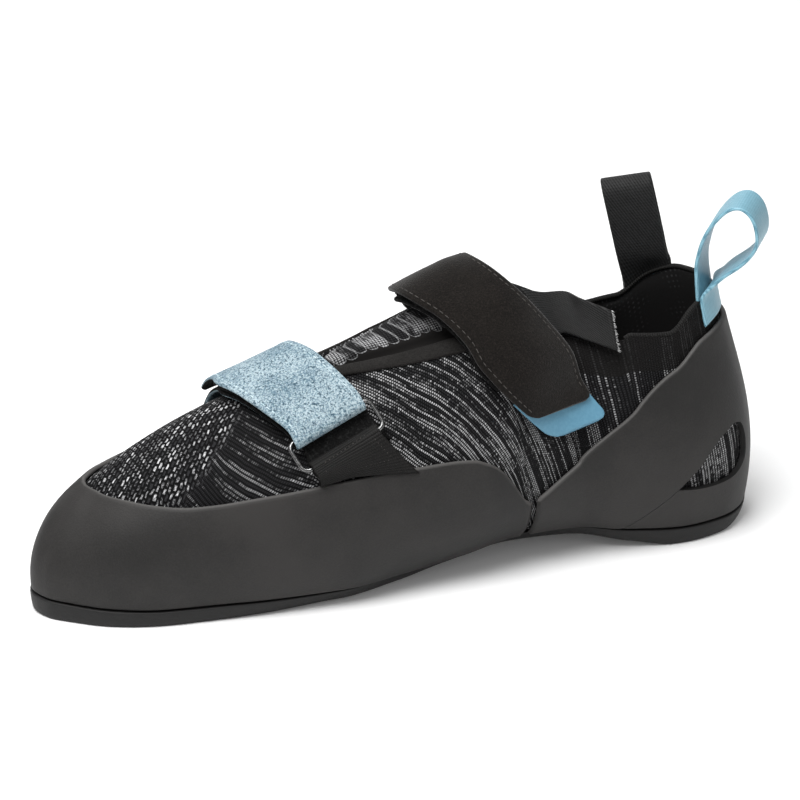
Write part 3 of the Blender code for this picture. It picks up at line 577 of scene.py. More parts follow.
@dataclass(frozen=True)
class KnitFinish:
    """Melange rib knit, with a coarse openwork zone over the toes and a plain ribbed collar."""

    name: str = "knit"
    rib: float = 0.00112
    course: float = 0.00084
    # Colour between the ribs and stitches: painted shade in the grooves
    dark: Colour = (0.0038, 0.0038, 0.0041, 1)
    thread: Colour = (0.0200, 0.0200, 0.0215, 1)
    # Pale melange thread on the ribs; over the toes the same colour is the painted highlight on the strands'
    # crests
    light: Colour = (0.640, 0.640, 0.650, 1)
    collar: Colour = (0.0085, 0.0080, 0.0078, 1)
    # Painted shade in the holes of the openwork over the toes
    hole: Colour = (0.0028, 0.0028, 0.0031, 1)
    wander: float = 0.0007
    streak_from: float = 0.482
    streak_full: float = 0.572
    toe_pitch: float = 0.0020
    toe_wander: float = 0.0022

    def streaks(self, g: Graph) -> tuple[Socket, Socket]:
        """Colour and relief of the streaked ribs.

        Args:
            g: the graph that takes the nodes.

        Returns:
            The colour and the height.
        """
        across, along = g.plane("rib")
        wander = g.times(g.minus(g.noise(g.place(), 180, 2), 0.5), self.wander)
        across = g.plus(across, wander)
        index = g.math("FLOOR", g.over(across, self.rib))
        rib = g.wave(g.over(across, self.rib))
        shift = g.times(g.math("MODULO", index, 2.0), 0.5)
        place = g.plus(g.over(along, self.course), shift)
        stitch = g.wave(place)
        own = g.noise(g.vector(g.times(index, 2.731), g.times(along, 26.0)), 1.0, 2)
        group = g.noise(g.vector(g.times(across, 110.0), g.times(along, 13.0), 4.0),
                        1.0, 2)
        cell = g.vector(g.times(index, 3.71), g.times(g.math("FLOOR", place), 2.37))
        jump = g.noise(cell, 1.0, 1)
        tone = g.plus(g.times(own, 0.55), g.times(group, 0.27))
        tone = g.plus(tone, g.times(jump, 0.18))
        tone = g.plus(tone, g.times(g.math("MODULO", index, 2.0), 0.035))
        quiet = g.value("quiet")
        tone = g.minus(tone, g.times(quiet, 0.05))
        streak = g.step(tone, self.streak_from, self.streak_full)
        shown = g.times(g.step(rib, 0.35, 0.90), g.step(stitch, 0.25, 0.90))
        # Crests of the ribs and stitches take the thread colour and the grooves between them the darker one:
        # painted shade in the grooves
        colour = g.mix(shown, self.dark, self.thread)
        lit = g.times(g.times(streak, shown), g.scalar(quiet, 1.0, 0.5))
        colour = g.mix(g.times(lit, g.scalar(jump, 0.35, 1.0)), colour, self.light)
        return colour, g.times(rib, g.plus(0.35, g.times(stitch, 0.65)))

    def openwork(self, g: Graph) -> tuple[Socket, Socket]:
        """Colour and relief of the slanted coarse strands over the toes, with a painted highlight on the
        strands' crests and painted shade in the holes between them.

        Args:
            g: the graph that takes the nodes.

        Returns:
            The colour and the height.
        """
        x, y = g.plane("plan")
        bends = [g.times(g.minus(g.noise(g.vector(x, y, layer), 230, 2), 0.5), self.toe_wander)
                 for layer in (0.0, 0.05)]
        x, y = g.plus(x, bends[0]), g.plus(y, bends[1])
        over = g.minus(g.times(x, 0.72), g.times(y, 0.69))
        over = g.over(over, self.toe_pitch * 0.68)
        row = g.math("FLOOR", over)
        along = g.plus(g.times(x, 0.69), g.times(y, 0.72))
        along = g.plus(g.over(along, self.toe_pitch * 1.15),
                       g.times(g.math("MODULO", row, 2.0), 0.5))
        strand, link = g.wave(over), g.wave(along)
        cell = g.vector(g.times(row, 2.913), g.times(g.math("FLOOR", along), 3.677))
        own = g.noise(cell, 1.0, 2)
        core = g.times(g.step(strand, 0.20, 0.80), g.step(link, 0.10, 0.60))
        fibre = g.noise(g.vector(x, y), 1800.0, 2)
        # Dark colour between the strands: painted shade in the holes
        colour = g.mix(core, self.hole, self.thread)
        # Pale colour on the strands' crests: a painted highlight
        crest = g.times(g.step(strand, 0.45, 0.95), g.step(link, 0.30, 0.85))
        tone = g.plus(own, g.times(fibre, 0.5))
        lit = g.times(crest, g.step(tone, 0.70, 1.00))
        colour = g.mix(lit, colour, self.light)
        return colour, g.times(core, 1.8)

    def make(self) -> Material:
        """Builds the material.

        Returns:
            The material.
        """
        g = Graph(self.name)
        colour, height = self.streaks(g)
        net, relief = self.openwork(g)
        toe = g.step(g.value("toe"), 0.35, 0.65)
        colour = g.mix(toe, colour, net)
        height = g.scalar(toe, height, relief)
        collar = g.step(g.value("collar"), 0.45, 0.55)
        colour = g.mix(g.times(collar, 0.94), colour, self.collar)
        return g.dress(colour, 0.9, height, 0.00045, Specular_IOR_Level=0.12)


@dataclass(frozen=True)
class LiningFinish:
    """Smooth black lining with faint rows of dots."""

    name: str = "lining"
    base: Colour = (0.016, 0.0155, 0.0155, 1)
    dot: Colour = (0.060, 0.060, 0.062, 1)

    def make(self) -> Material:
        """Builds the material.

        Returns:
            The material.
        """
        g = Graph(self.name)
        across, along = g.plane("rib")
        dots = g.times(g.step(g.wave(g.over(across, 0.0022)), 0.7, 1.0),
                      g.step(g.wave(g.over(along, 0.0022)), 0.7, 1.0))
        patch = g.step(g.noise(g.place(), 60, 2), 0.45, 0.65)
        colour = g.mix(g.times(dots, patch), self.base, self.dot)
        return g.dress(colour, 0.9, g.noise(g.place(), 2400, 2), 0.0001, Specular_IOR_Level=0.08)


@dataclass(frozen=True)
class TongueFinish:
    """Tongue knit: long U-shaped stripes that end above each binding, over a smooth dark border."""

    name: str = "tongue_knit"
    # Colour between the stitches: painted shade in the gaps
    dark: Colour = (0.0050, 0.0050, 0.0052, 1)
    thread: Colour = (0.0200, 0.0200, 0.0210, 1)
    light: Colour = (0.560, 0.560, 0.570, 1)
    border: Colour = (0.0125, 0.0115, 0.0110, 1)
    pitch: float = 0.0037
    reach: float = 0.0046
    stagger: float = 0.0030
    bow: float = 0.0016
    hem: float = 0.0004
    stitch: tuple[float, float] = (0.00092, 0.00085)

    def make(self) -> Material:
        """Builds the material.

        Returns:
            The material.
        """
        g = Graph(self.name)
        x, edge = g.plane("throat")
        across = g.over(g.plus(x, g.times(edge, 0.35)), self.pitch)
        index = g.math("FLOOR", across)
        middle = g.math("ABSOLUTE", g.minus(g.math("FRACT", across), 0.5))
        own = g.noise(g.vector(g.times(index, 2.77), 2.0), 1.0, 1)
        other = g.noise(g.vector(g.times(index, 1.91), 7.0), 1.0, 1)
        start = g.plus(self.reach - 0.4 * self.stagger, g.times(other, self.stagger))
        curve = g.times(g.math("POWER", g.times(middle, 2.0), 3.0), self.bow)
        inside = g.minus(g.minus(edge, start), curve)
        filled = g.step(inside, 0.0, 0.0003)
        hem = g.minus(filled, g.step(inside, self.hem, 2 * self.hem))
        sides = g.times(g.step(middle, 0.36, 0.42), filled)
        outline = g.math("MAXIMUM", hem, g.times(sides, 0.75))
        dots = g.times(g.step(g.wave(g.over(x, self.stitch[0])), 0.15, 0.75),
                      g.step(g.wave(g.over(edge, self.stitch[1])), 0.15, 0.75))
        cloud = g.noise(g.vector(g.times(x, 120.0), g.times(edge, 90.0)), 1.0, 3)
        tone = g.plus(g.times(own, 0.6), g.times(cloud, 0.4))
        fill = g.times(g.times(g.step(tone, 0.53, 0.60), filled), dots)
        pale = g.math("MAXIMUM", g.times(outline, g.scalar(dots, 0.35, 0.75)), fill)
        shown = g.times(pale, g.value("drip"))
        # Stitches take the thread colour and the gaps between them the darker one: painted shade between the
        # stitches
        colour = g.mix(dots, self.dark, self.thread)
        colour = g.mix(filled, self.border, colour)
        colour = g.mix(g.times(shown, 0.75), colour, self.light)
        height = g.times(filled, g.plus(g.times(dots, 0.5), outline))
        return g.dress(colour, 0.86, height, 0.0004, Specular_IOR_Level=0.14)


@dataclass(frozen=True)
class NapFinish:
    """Suede or felt: short nap with fine specks and soft smudges."""

    name: str
    base: Colour
    pale: Colour
    speck: Colour
    speck_share: float
    grain: float = 1300.0
    depth: float = 0.00022
    specular: float = 0.08
    sheen: float = 0.0

    def make(self) -> Material:
        """Builds the material.

        Returns:
            The material.
        """
        g = Graph(self.name)
        place = g.place()
        nap = g.noise(place, self.grain * 1.6, 4)
        soft = g.noise(place, 90, 4)
        fibre = g.noise(place, self.grain, 3)
        colour = g.mix(g.step(g.plus(g.times(nap, 0.75), g.times(soft, 0.25)),
                              0.38, 0.62), self.base, self.pale)
        specks = g.step(fibre, 0.54, 0.64)
        colour = g.mix(g.times(specks, self.speck_share), colour, self.speck)
        height = g.plus(nap, g.times(fibre, 0.8))
        return g.dress(colour, 0.93, height, self.depth, Specular_IOR_Level=self.specular,
                       Sheen_Weight=self.sheen, Sheen_Roughness=0.45)


class Weave(Enum):
    """How a webbing is woven."""

    TWILL = "twill"
    RIBBED = "ribbed"
    SATIN = "satin"


@dataclass(frozen=True)
class WebbingFinish:
    """Woven webbing, its raised threads painted paler and its hollows darker as highlight and shade; its
    plane map runs across the ribbon and along it.
    """

    name: str
    weave: Weave
    dark: Colour
    pale: Colour
    pitch: float
    gloss: float = 0.55
    specular: float = 0.16

    def make(self) -> Material:
        """Builds the material.

        Returns:
            The material.
        """
        g = Graph(self.name)
        across, along = g.plane("ribbon")
        u, v = g.over(across, self.pitch), g.over(along, self.pitch)
        if self.weave is Weave.TWILL:
            line = g.wave(g.plus(u, g.times(v, 0.5)))
            thread = g.wave(g.times(v, 1.0))
            height = g.plus(g.times(line, 0.7), g.times(thread, 0.3))
        elif self.weave is Weave.RIBBED:
            line = g.wave(v)
            thread = g.wave(g.plus(g.times(u, 1.0),
                                   g.times(g.math("MODULO", g.math("FLOOR", v), 2.0), 0.5)))
            height = g.times(line, g.plus(0.5, g.times(thread, 0.5)))
        else:
            line = g.wave(g.plus(u, g.times(v, 0.12)))
            height = g.plus(g.times(line, 0.75), g.times(g.wave(v), 0.25))
        fleck = g.noise(g.vector(g.times(u, 0.9), g.times(v, 0.35)), 1.0, 3)
        # Raised threads paler and the hollows between them darker, by the weave's own height: painted
        # highlight and shade; the flecks are the threads' random tone
        tone = g.plus(g.times(height, 0.65), g.times(fleck, 0.45))
        colour = g.mix(g.step(tone, 0.15, 0.95), self.dark, self.pale)
        return g.dress(colour, self.gloss, height, 0.00018, Specular_IOR_Level=self.specular)


@dataclass(frozen=True)
class PlainFinish:
    """Moulded plastic, thread, wire or footbed: one tone with slight mottling."""

    name: str
    dark: Colour
    pale: Colour
    roughness: float
    metallic: float = 0.0
    grain: float = 900.0
    depth: float = 0.00004
    specular: float = 0.5

    def make(self) -> Material:
        """Builds the material.

        Returns:
            The material.
        """
        g = Graph(self.name)
        mottle = g.noise(g.place(), self.grain, 3)
        colour = g.mix(g.step(mottle, 0.35, 0.7), self.dark, self.pale)
        return g.dress(colour, self.roughness, mottle, self.depth, Metallic=self.metallic,
                       Specular_IOR_Level=self.specular)


def grey(value: float, warm: float = 1.0) -> Colour:
    """Grey colour, a little warmer where warm is above one."""
    return (value * warm, value, value / warm, 1)


Finish = (RubberFinish | KnitFinish | LiningFinish | TongueFinish | NapFinish | WebbingFinish
          | PlainFinish)


def made(finish: Finish) -> Material:
    """Field that holds a finish's material, built when the wardrobe is."""
    return field(default_factory=finish.make)


@dataclass
class Wardrobe:
    """Every finish of the shoe, each made once."""

    rubber: Material = made(RubberFinish())
    knit: Material = made(KnitFinish())
    lining: Material = made(LiningFinish())
    tongue: Material = made(TongueFinish())
    blue_felt: Material = made(NapFinish(
        "blue_felt", (0.125, 0.205, 0.258, 1), (0.445, 0.545, 0.590, 1), (0.040, 0.080, 0.110, 1),
        speck_share=0.85, grain=1150.0, depth=0.00055))
    black_suede: Material = made(NapFinish(
        "black_suede", (0.0042, 0.0035, 0.0030, 1), (0.0105, 0.0087, 0.0074, 1),
        (0.0210, 0.0175, 0.0150, 1), speck_share=0.45, grain=1500.0, depth=0.00016, sheen=0.22))
    binding: Material = made(NapFinish(
        "padded_binding", (0.0105, 0.0097, 0.0092, 1), (0.0195, 0.0182, 0.0172, 1),
        (0.0035, 0.0035, 0.0035, 1), speck_share=0.35, grain=1500.0, depth=0.00010, specular=0.20))
    hook: Material = made(NapFinish(
        "hook_layer", grey(0.0045), grey(0.010), grey(0.040), speck_share=0.35, grain=1200.0,
        depth=0.0003))
    twill: Material = made(WebbingFinish(
        "black_twill", Weave.TWILL, grey(0.0038), grey(0.0230), pitch=0.00105))
    ribbed: Material = made(WebbingFinish(
        "black_ribbed", Weave.RIBBED, grey(0.0026, 1.06), grey(0.0100, 1.06), pitch=0.00085, gloss=0.6))
    satin: Material = made(WebbingFinish(
        "blue_satin", Weave.SATIN, (0.070, 0.200, 0.275, 1), (0.235, 0.460, 0.560, 1),
        pitch=0.00078, gloss=0.36, specular=0.5))
    tab: Material = made(PlainFinish(
        "blue_tab", (0.098, 0.245, 0.350, 1), (0.112, 0.270, 0.378, 1), roughness=0.42, specular=0.35))
    wire: Material = made(PlainFinish("wire", grey(0.12), grey(0.22), roughness=0.24, metallic=1.0))
    dark_thread: Material = made(PlainFinish(
        "dark_thread", grey(0.026, 1.12), grey(0.055, 1.12), roughness=0.6))
    blue_thread: Material = made(PlainFinish(
        "blue_thread", (0.420, 0.560, 0.610, 1), (0.680, 0.790, 0.830, 1), roughness=0.6))
    # Pale thread of the frayed tab end; the same colour makes the painted highlight dots along each keeper's
    # fold
    pale_thread_and_glints: Material = made(PlainFinish("pale_thread_and_glints", grey(0.30), grey(0.55), roughness=0.6))
    footbed: Material = made(PlainFinish(
        "footbed", grey(0.008), grey(0.018), roughness=0.9, grain=2200.0, depth=0.00012, specular=0.1))


# Meshes


def rounding(distance: Array, radius: float) -> Array:
    """Share of the full thickness near an edge that is rounded to a radius."""
    reach = np.clip(np.asarray(distance) / radius, 0, 1)
    return np.sqrt(1 - (1 - reach) ** 2)


def make_object(name: str, mesh: bpy.types.Mesh, materials: list[Material]) -> Object:
    """Object for a mesh with its materials, in the world's own frame.

    Args:
        name: the piece's name.
        mesh: its mesh.
        materials: in the order of the mesh's indices.

    Returns:
        The object.
    """
    for one in materials:
        mesh.materials.append(one)
    made = bpy.data.objects.new(name, mesh)
    bpy.context.scene.collection.objects.link(made)
    return made


def finish_piece(made: Object, nodes: tuple[str, ...] = ()) -> Object:
    """Puts a piece on the shoe's body and the solids that it stands for.

    Args:
        made: the piece.
        nodes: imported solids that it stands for.

    Returns:
        The piece.
    """
    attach(made, ROOT)
    if nodes:
        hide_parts(*nodes)
    return made


@dataclass
class Sheet:
    """Solid sheet round a middle surface, its edges rounded where its half thickness is nothing.

    The middle is a grid of points with unit normals; wrap joins the last row to the first.
    """

    name: str
    middle: Array
    normals: Array
    half: Array
    maps: dict[str, Array]
    values: dict[str, Array] = field(default_factory=dict)
    wrap: bool = False

    def mesh(self, inside_index: int = 0) -> bpy.types.Mesh:
        """Closed mesh of both faces.

        Args:
            inside_index: material index of the face against the normals.

        Returns:
            The mesh, shifted to the world's frame.
        """
        rows, columns = self.half.shape
        offset = self.half[..., None] * self.normals
        points = np.concatenate([(self.middle + offset).reshape(-1, 3),
                                 (self.middle - offset).reshape(-1, 3)]) + TO_WORLD
        index = np.arange(rows * columns).reshape(rows, columns)
        after = np.roll(index, -1, axis=0) if self.wrap else index[1:]
        before = index if self.wrap else index[:-1]
        quads = np.stack([before[:, :-1], before[:, 1:], after[:, 1:], after[:, :-1]], -1).reshape(-1, 4)
        faces = np.concatenate([quads, quads[:, ::-1] + rows * columns])
        mesh = bpy.data.meshes.new(self.name)
        mesh.from_pydata(points, [], faces.tolist())
        order = faces.ravel()
        for name, plane in self.maps.items():
            both = np.concatenate([plane.reshape(-1, 2)] * 2)
            mesh.uv_layers.new(name=name).data.foreach_set("uv", both[order].ravel())
        for name, value in self.values.items():
            both = np.concatenate([value.ravel()] * 2).astype(np.float32)
            mesh.attributes.new(name, "FLOAT", "POINT").data.foreach_set("value", both)
        side = np.repeat([0, inside_index], len(quads)).astype(np.int32)
        mesh.polygons.foreach_set("material_index", side)
        bm = bmesh.new()
        bm.from_mesh(mesh)
        bmesh.ops.remove_doubles(bm, verts=bm.verts, dist=MERGE_DISTANCE)
        bmesh.ops.recalc_face_normals(bm, faces=bm.faces)
        bm.to_mesh(mesh)
        bm.free()
        mesh.shade_smooth()
        return mesh


def lengths(points: Array) -> Array:
    """Distance run along a line of points, from its first one."""
    steps = np.linalg.norm(np.diff(points, axis=0), axis=-1)
    return np.concatenate([[0.0], np.cumsum(steps)])


def runs_across(grid: Array) -> Array:
    """Distance run along each row of a grid of points, from its first column."""
    steps = np.linalg.norm(np.diff(grid, axis=1), axis=-1)
    return np.concatenate([np.zeros((len(grid), 1)), np.cumsum(steps, axis=1)], axis=1)


def from_ends(run: Array) -> Array:
    """Distance from the nearer end, where run is the distance from the first one."""
    return np.minimum(run, run[-1] - run)


def from_sides(across: Array) -> Array:
    """Distance from the nearer side, where across is the distance from the first column."""
    return np.minimum(across, across[:, -1:] - across)


def grid_normals(grid: Array) -> Array:
    """Unit normals of a grid of points."""
    return unit(np.cross(np.gradient(grid, axis=0), np.gradient(grid, axis=1)))


def path_through(points: Array, steps: int) -> Array:
    """Catmull-Rom line through points, with a number of steps to a span.

    Args:
        points: points or rows of points.
        steps: steps to a span.

    Returns:
        The line's points.
    """
    points = np.array(points, float)
    ends = [2 * points[0] - points[1], *points, 2 * points[-1] - points[-2]]
    line = []
    for a, b, c, d in zip(ends, ends[1:], ends[2:], ends[3:]):
        for t in np.arange(steps) / steps:
            line.append(0.5 * (2 * b + (c - a) * t + (2 * a - 5 * b + 4 * c - d) * t ** 2
                               + (3 * b - a - 3 * c + d) * t ** 3))
    line.append(points[-1])
    return np.array(line)


@dataclass
class Ribbon:
    """Strap or webbing of one thickness through a grid of points, rows along it."""

    name: str
    grid: Array
    thickness: float
    material: Material
    inside: Material | None = None
    edge_band: float = 0.0009

    def build(self, slot: str, nodes: tuple[str, ...] = ()) -> Object:
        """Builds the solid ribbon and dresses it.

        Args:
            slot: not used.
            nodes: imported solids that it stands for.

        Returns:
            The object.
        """
        grid = self.grid
        middle = grid[:, grid.shape[1] // 2]
        along = np.repeat(lengths(middle)[:, None], grid.shape[1], axis=1)
        across = runs_across(grid)
        side, end = from_sides(across), from_ends(along)
        radius = self.thickness * 0.5
        half = radius * rounding(side, radius) * rounding(end, radius)
        rim = 1 - np.clip(np.minimum(side, end) / self.edge_band, 0, 1)
        sheet = Sheet(self.name, grid, grid_normals(grid), half,
                      {"ribbon": np.stack([across, along], -1)}, {"rim": rim})
        two = self.inside is not None
        materials = [self.material, self.inside] if two else [self.material]
        return finish_piece(make_object(self.name, sheet.mesh(int(two)), materials), nodes)


@dataclass
class Stitches:
    """Row of short thread stitches laid along lines of points on a surface."""

    name: str
    pitch: float = 0.0026
    length: float = 0.0018
    radius: float = 0.00017

    def build(self, lines: list[tuple[Array, Array]], material: Material, slot: str) -> Object:
        """Builds every stitch as one mesh.

        Args:
            lines: pairs of points and outward normals.
            material: the thread's finish.
            slot: not used.

        Returns:
            The object.
        """
        verts, faces = [], []
        turns = np.linspace(0, 2 * math.pi, 6, endpoint=False)
        profile = ((-0.5, 0.15), (-0.36, 0.85), (0.0, 1.0), (0.36, 0.85), (0.5, 0.15))
        for points, normals in lines:
            run = lengths(points)
            for middle in np.arange(self.pitch, run[-1] - self.pitch, self.pitch):
                at = [np.interp(middle, run, points[:, k]) for k in range(3)]
                ahead = [np.interp(middle + 0.0004, run, points[:, k]) for k in range(3)]
                normal = unit(np.array([np.interp(middle, run, normals[:, k]) for k in range(3)]))
                along = unit(np.array(ahead) - np.array(at))
                side = np.cross(normal, along)
                first = len(verts)
                for share, size in profile:
                    hub = np.array(at) + share * self.length * along + normal * (
                        self.radius * (0.45 - 1.2 * abs(share)))
                    for turn in turns:
                        verts.append(hub + size * self.radius * (math.cos(turn) * side
                                                                 + math.sin(turn) * normal))
                count = len(turns)
                for ring in range(len(profile) - 1):
                    for k in range(count):
                        after = (k + 1) % count
                        faces.append((first + ring * count + k, first + ring * count + after,
                                      first + (ring + 1) * count + after, first + (ring + 1) * count + k))
                faces.append(tuple(first + k for k in range(count))[::-1])
                faces.append(tuple(first + 4 * count + k for k in range(count)))
        mesh = bpy.data.meshes.new(self.name)
        mesh.from_pydata(np.array(verts) + TO_WORLD, [], faces)
        mesh.shade_smooth()
        return finish_piece(make_object(self.name, mesh, [material]))


# Upper, tongue and bindings


THROAT_EDGE = ((6.50, 1.00), (7.00, 0.928), (7.50, 0.888), (8.00, 0.857), (8.50, 0.832),
               (9.50, 0.802), (11.00, 0.800), (11.50, 0.905), (12.00, 1.00))
RAND_TOP = ((0.00, 0.925), (1.00, 0.835), (1.85, 0.735), (2.75, 0.625), (3.35, 0.560), (4.25, 0.487),
            (5.00, 0.462), (6.25, 0.452), (8.70, 0.445), (9.10, 0.430), (9.45, 0.355), (9.65, 0.310),
            (9.90, 0.255), (10.14, 0.230), (10.22, 0.240), (10.50, 0.280), (10.75, 0.315),
            (11.10, 0.363), (11.30, 0.403), (11.50, 0.467), (11.85, 0.612), (12.20, 0.712),
            (12.50, 0.770), (12.85, 0.820), (13.35, 0.860), (13.95, 0.868), (14.60, 0.866),
            (15.30, 0.862), (16.00, 0.862))
HEEL_WINDOW = ((12.82, 0.215), (13.30, 0.305), (13.72, 0.367), (14.15, 0.399), (14.38, 0.408),
               (14.62, 0.385), (14.74, 0.320), (14.74, 0.255), (14.62, 0.205), (14.25, 0.172),
               (13.76, 0.170), (13.30, 0.188))
# Distance from the toe along the side, and the lean of the ribs there in degrees
RIB_LEAN = ((0.00, 34), (0.06, 38), (0.10, 52), (0.14, 52), (0.175, 36), (0.205, 14), (0.24, 6),
            (0.32, 2))
SEAM_GAP = 0.0004
WALL = 0.0020
RAND = 0.0020


def rib_plane(place: Array, height: Array) -> Array:
    """Coordinates across and along the knit's ribs, which lean back as they go down.

    Args:
        place: section numbers, one per row of a grid.
        height: height shares of the grid's columns, as a grid.

    Returns:
        Grid of pairs, in metres.
    """
    fine = np.linspace(0, LAST_ROW, 600)
    run = lengths(FORM.point(fine, 0.55))
    forward = np.interp(np.abs(place), fine, run)[:, None]
    rise = runs_across(FORM.point(place[:, None], height))
    down = rise[:, -1:] - rise
    knots = np.array(RIB_LEAN)
    angle = np.radians(np.interp(run, knots[:, 0], knots[:, 1]))
    turned = np.cumsum(np.stack([np.cos(angle), np.sin(angle)]) * np.gradient(run), axis=1)
    lean = np.interp(forward, run, angle)
    across = np.interp(forward, run, turned[0]) - down * np.sin(lean)
    along = np.interp(forward, run, turned[1]) + down * np.cos(lean)
    return np.stack([across, along], -1)


class Fold(NamedTuple):
    """Soft fold of the knit: its middle, its reach along and up the wall, and its share of depth."""

    place: float
    height: float
    long: float
    wide: float
    depth: float


FOLDS = (
    Fold(-10.2, 0.52, 1.1, 0.05, -1.0),
    Fold(-9.3, 0.62, 0.8, 0.05, 0.6),
    Fold(-11.4, 0.72, 0.7, 0.04, -0.7),
    Fold(10.4, 0.55, 1.0, 0.05, -0.9),
    Fold(-12.6, 0.90, 0.6, 0.03, -0.5),
    Fold(12.3, 0.88, 0.7, 0.03, -0.5),
)


@dataclass
class Upper:
    """Knitted upper: one wall with a lining inside, its top edge rounded at the throat and collar."""

    wall: float = WALL
    stations: int = 384
    rows: int = 52
    throat_start: float = 6.5
    crease_depth: float = 0.0009

    def creases(self, place: Array, height: Array) -> Array:
        """Soft troughs and ridges of the knit, as an offset along the normals.

        Args:
            place: section numbers.
            height: height shares.

        Returns:
            The offsets.
        """
        dip = np.zeros(np.broadcast(place, height).shape)
        for fold in FOLDS:
            slant = height - fold.height - 0.06 * (place - fold.place)
            dip += fold.depth * np.exp(-((place - fold.place) / fold.long) ** 2 - (slant / fold.wide) ** 2)
        return self.crease_depth * dip

    def build(self, finishes: Wardrobe) -> None:
        """Builds and dresses the upper.

        Args:
            finishes: the shoe's finishes.
        """
        place = np.linspace(-LAST_ROW, LAST_ROW, self.stations, endpoint=False)
        top = table_value(THROAT_EDGE, place)
        share = np.linspace(0, 1, self.rows)
        share = np.sort(np.concatenate([share, [0.994, 0.998]]))
        height = top[:, None] * share
        girth = np.where(place[:, None] < 0, 2 - height, height)
        outer = FORM.point(place[:, None], height)
        normals = FORM.girth_normal(np.abs(place)[:, None] + 0 * height, girth)
        rise = runs_across(outer)
        from_top = rise[:, -1:] - rise
        open_share = np.clip((np.abs(place) - self.throat_start) / 0.1, 0, 1)[:, None]
        half = self.wall / 2 * (1 - open_share * (1 - rounding(from_top, self.wall / 2)))
        half = half * rounding(rise + 0.00001, 0.0006)
        clear = (height > table_value(RAND_TOP, place)[:, None] + 0.03) & (from_top > 0.010)
        folded = self.creases(place[:, None], height) * clear
        middle = outer - normals * (self.wall / 2 - folded[..., None])
        toe = np.clip(0.5 + (5.15 - np.abs(place)[:, None] + 3.2 * (height - 0.82)) / 1.3, 0, 1)
        quiet = np.clip(0.5 + (6.6 - np.abs(place)[:, None] + 2.0 * (height - 0.82)) / 1.4, 0, 1)
        rear = np.clip((np.abs(place) - 10.2) / 2.0, 0, 0.8) * np.clip(13.4 - np.abs(place), 0, 1)
        quiet = np.maximum(quiet, rear[:, None])
        collar = np.clip(0.5 + (0.0125 - from_top) / 0.004, 0, 1) * (np.abs(place)[:, None] > 11.2)
        plan = np.stack([outer[..., 0], outer[..., 1]], -1)
        sheet = Sheet("upper_knit", middle, normals, half,
                      {"rib": rib_plane(place, height), "plan": plan},
                      {"toe": toe, "collar": collar, "quiet": quiet}, wrap=True)
        made = make_object("upper_knit", sheet.mesh(inside_index=1), [finishes.knit, finishes.lining])
        finish_piece(made, ("upper",))


@dataclass
class Collar:
    """Rolled edge along the collar."""

    radius: float = 0.00085
    first: float = 11.9
    stations: int = 90
    outward: float = 1.25

    def build(self, finishes: Wardrobe) -> None:
        """Builds the rolled edge.

        Args:
            finishes: the shoe's finishes.
        """
        place = np.concatenate([np.linspace(self.first, LAST_ROW, self.stations),
                                np.linspace(-LAST_ROW, -self.first, self.stations)[1:]])
        top = table_value(THROAT_EDGE, place)
        line = FORM.point(place, top) - WALL / 2 * FORM.normal(place, top)
        out = FORM.normal(place, top)
        along = unit(np.gradient(line, axis=0))
        over = unit(np.cross(out, along))
        over *= np.sign(over[:, 2:3])
        turns = np.linspace(0, 2 * math.pi, 13)
        ring = np.array([[c + self.radius * (math.cos(t) * o * self.outward + math.sin(t) * u)
                          for t in turns] for c, o, u in zip(line, out, over)])
        run = np.repeat(lengths(line)[:, None], len(turns), axis=1)
        around = np.repeat((turns * self.radius)[None], len(line), axis=0)
        mesh = bpy.data.meshes.new("collar_edge")
        rows, columns = run.shape
        index = np.arange(rows * columns).reshape(rows, columns)
        quads = np.stack([index[:-1, :-1], index[:-1, 1:], index[1:, 1:], index[1:, :-1]], -1).reshape(-1, 4)
        mesh.from_pydata(ring.reshape(-1, 3) + TO_WORLD, [], quads.tolist())
        plane = np.stack([around, run], -1).reshape(-1, 2)
        mesh.uv_layers.new(name="ribbon").data.foreach_set("uv", plane[quads.ravel()].ravel())
        mesh.shade_smooth()
        finish_piece(make_object("collar_edge", mesh, [finishes.ribbed]))


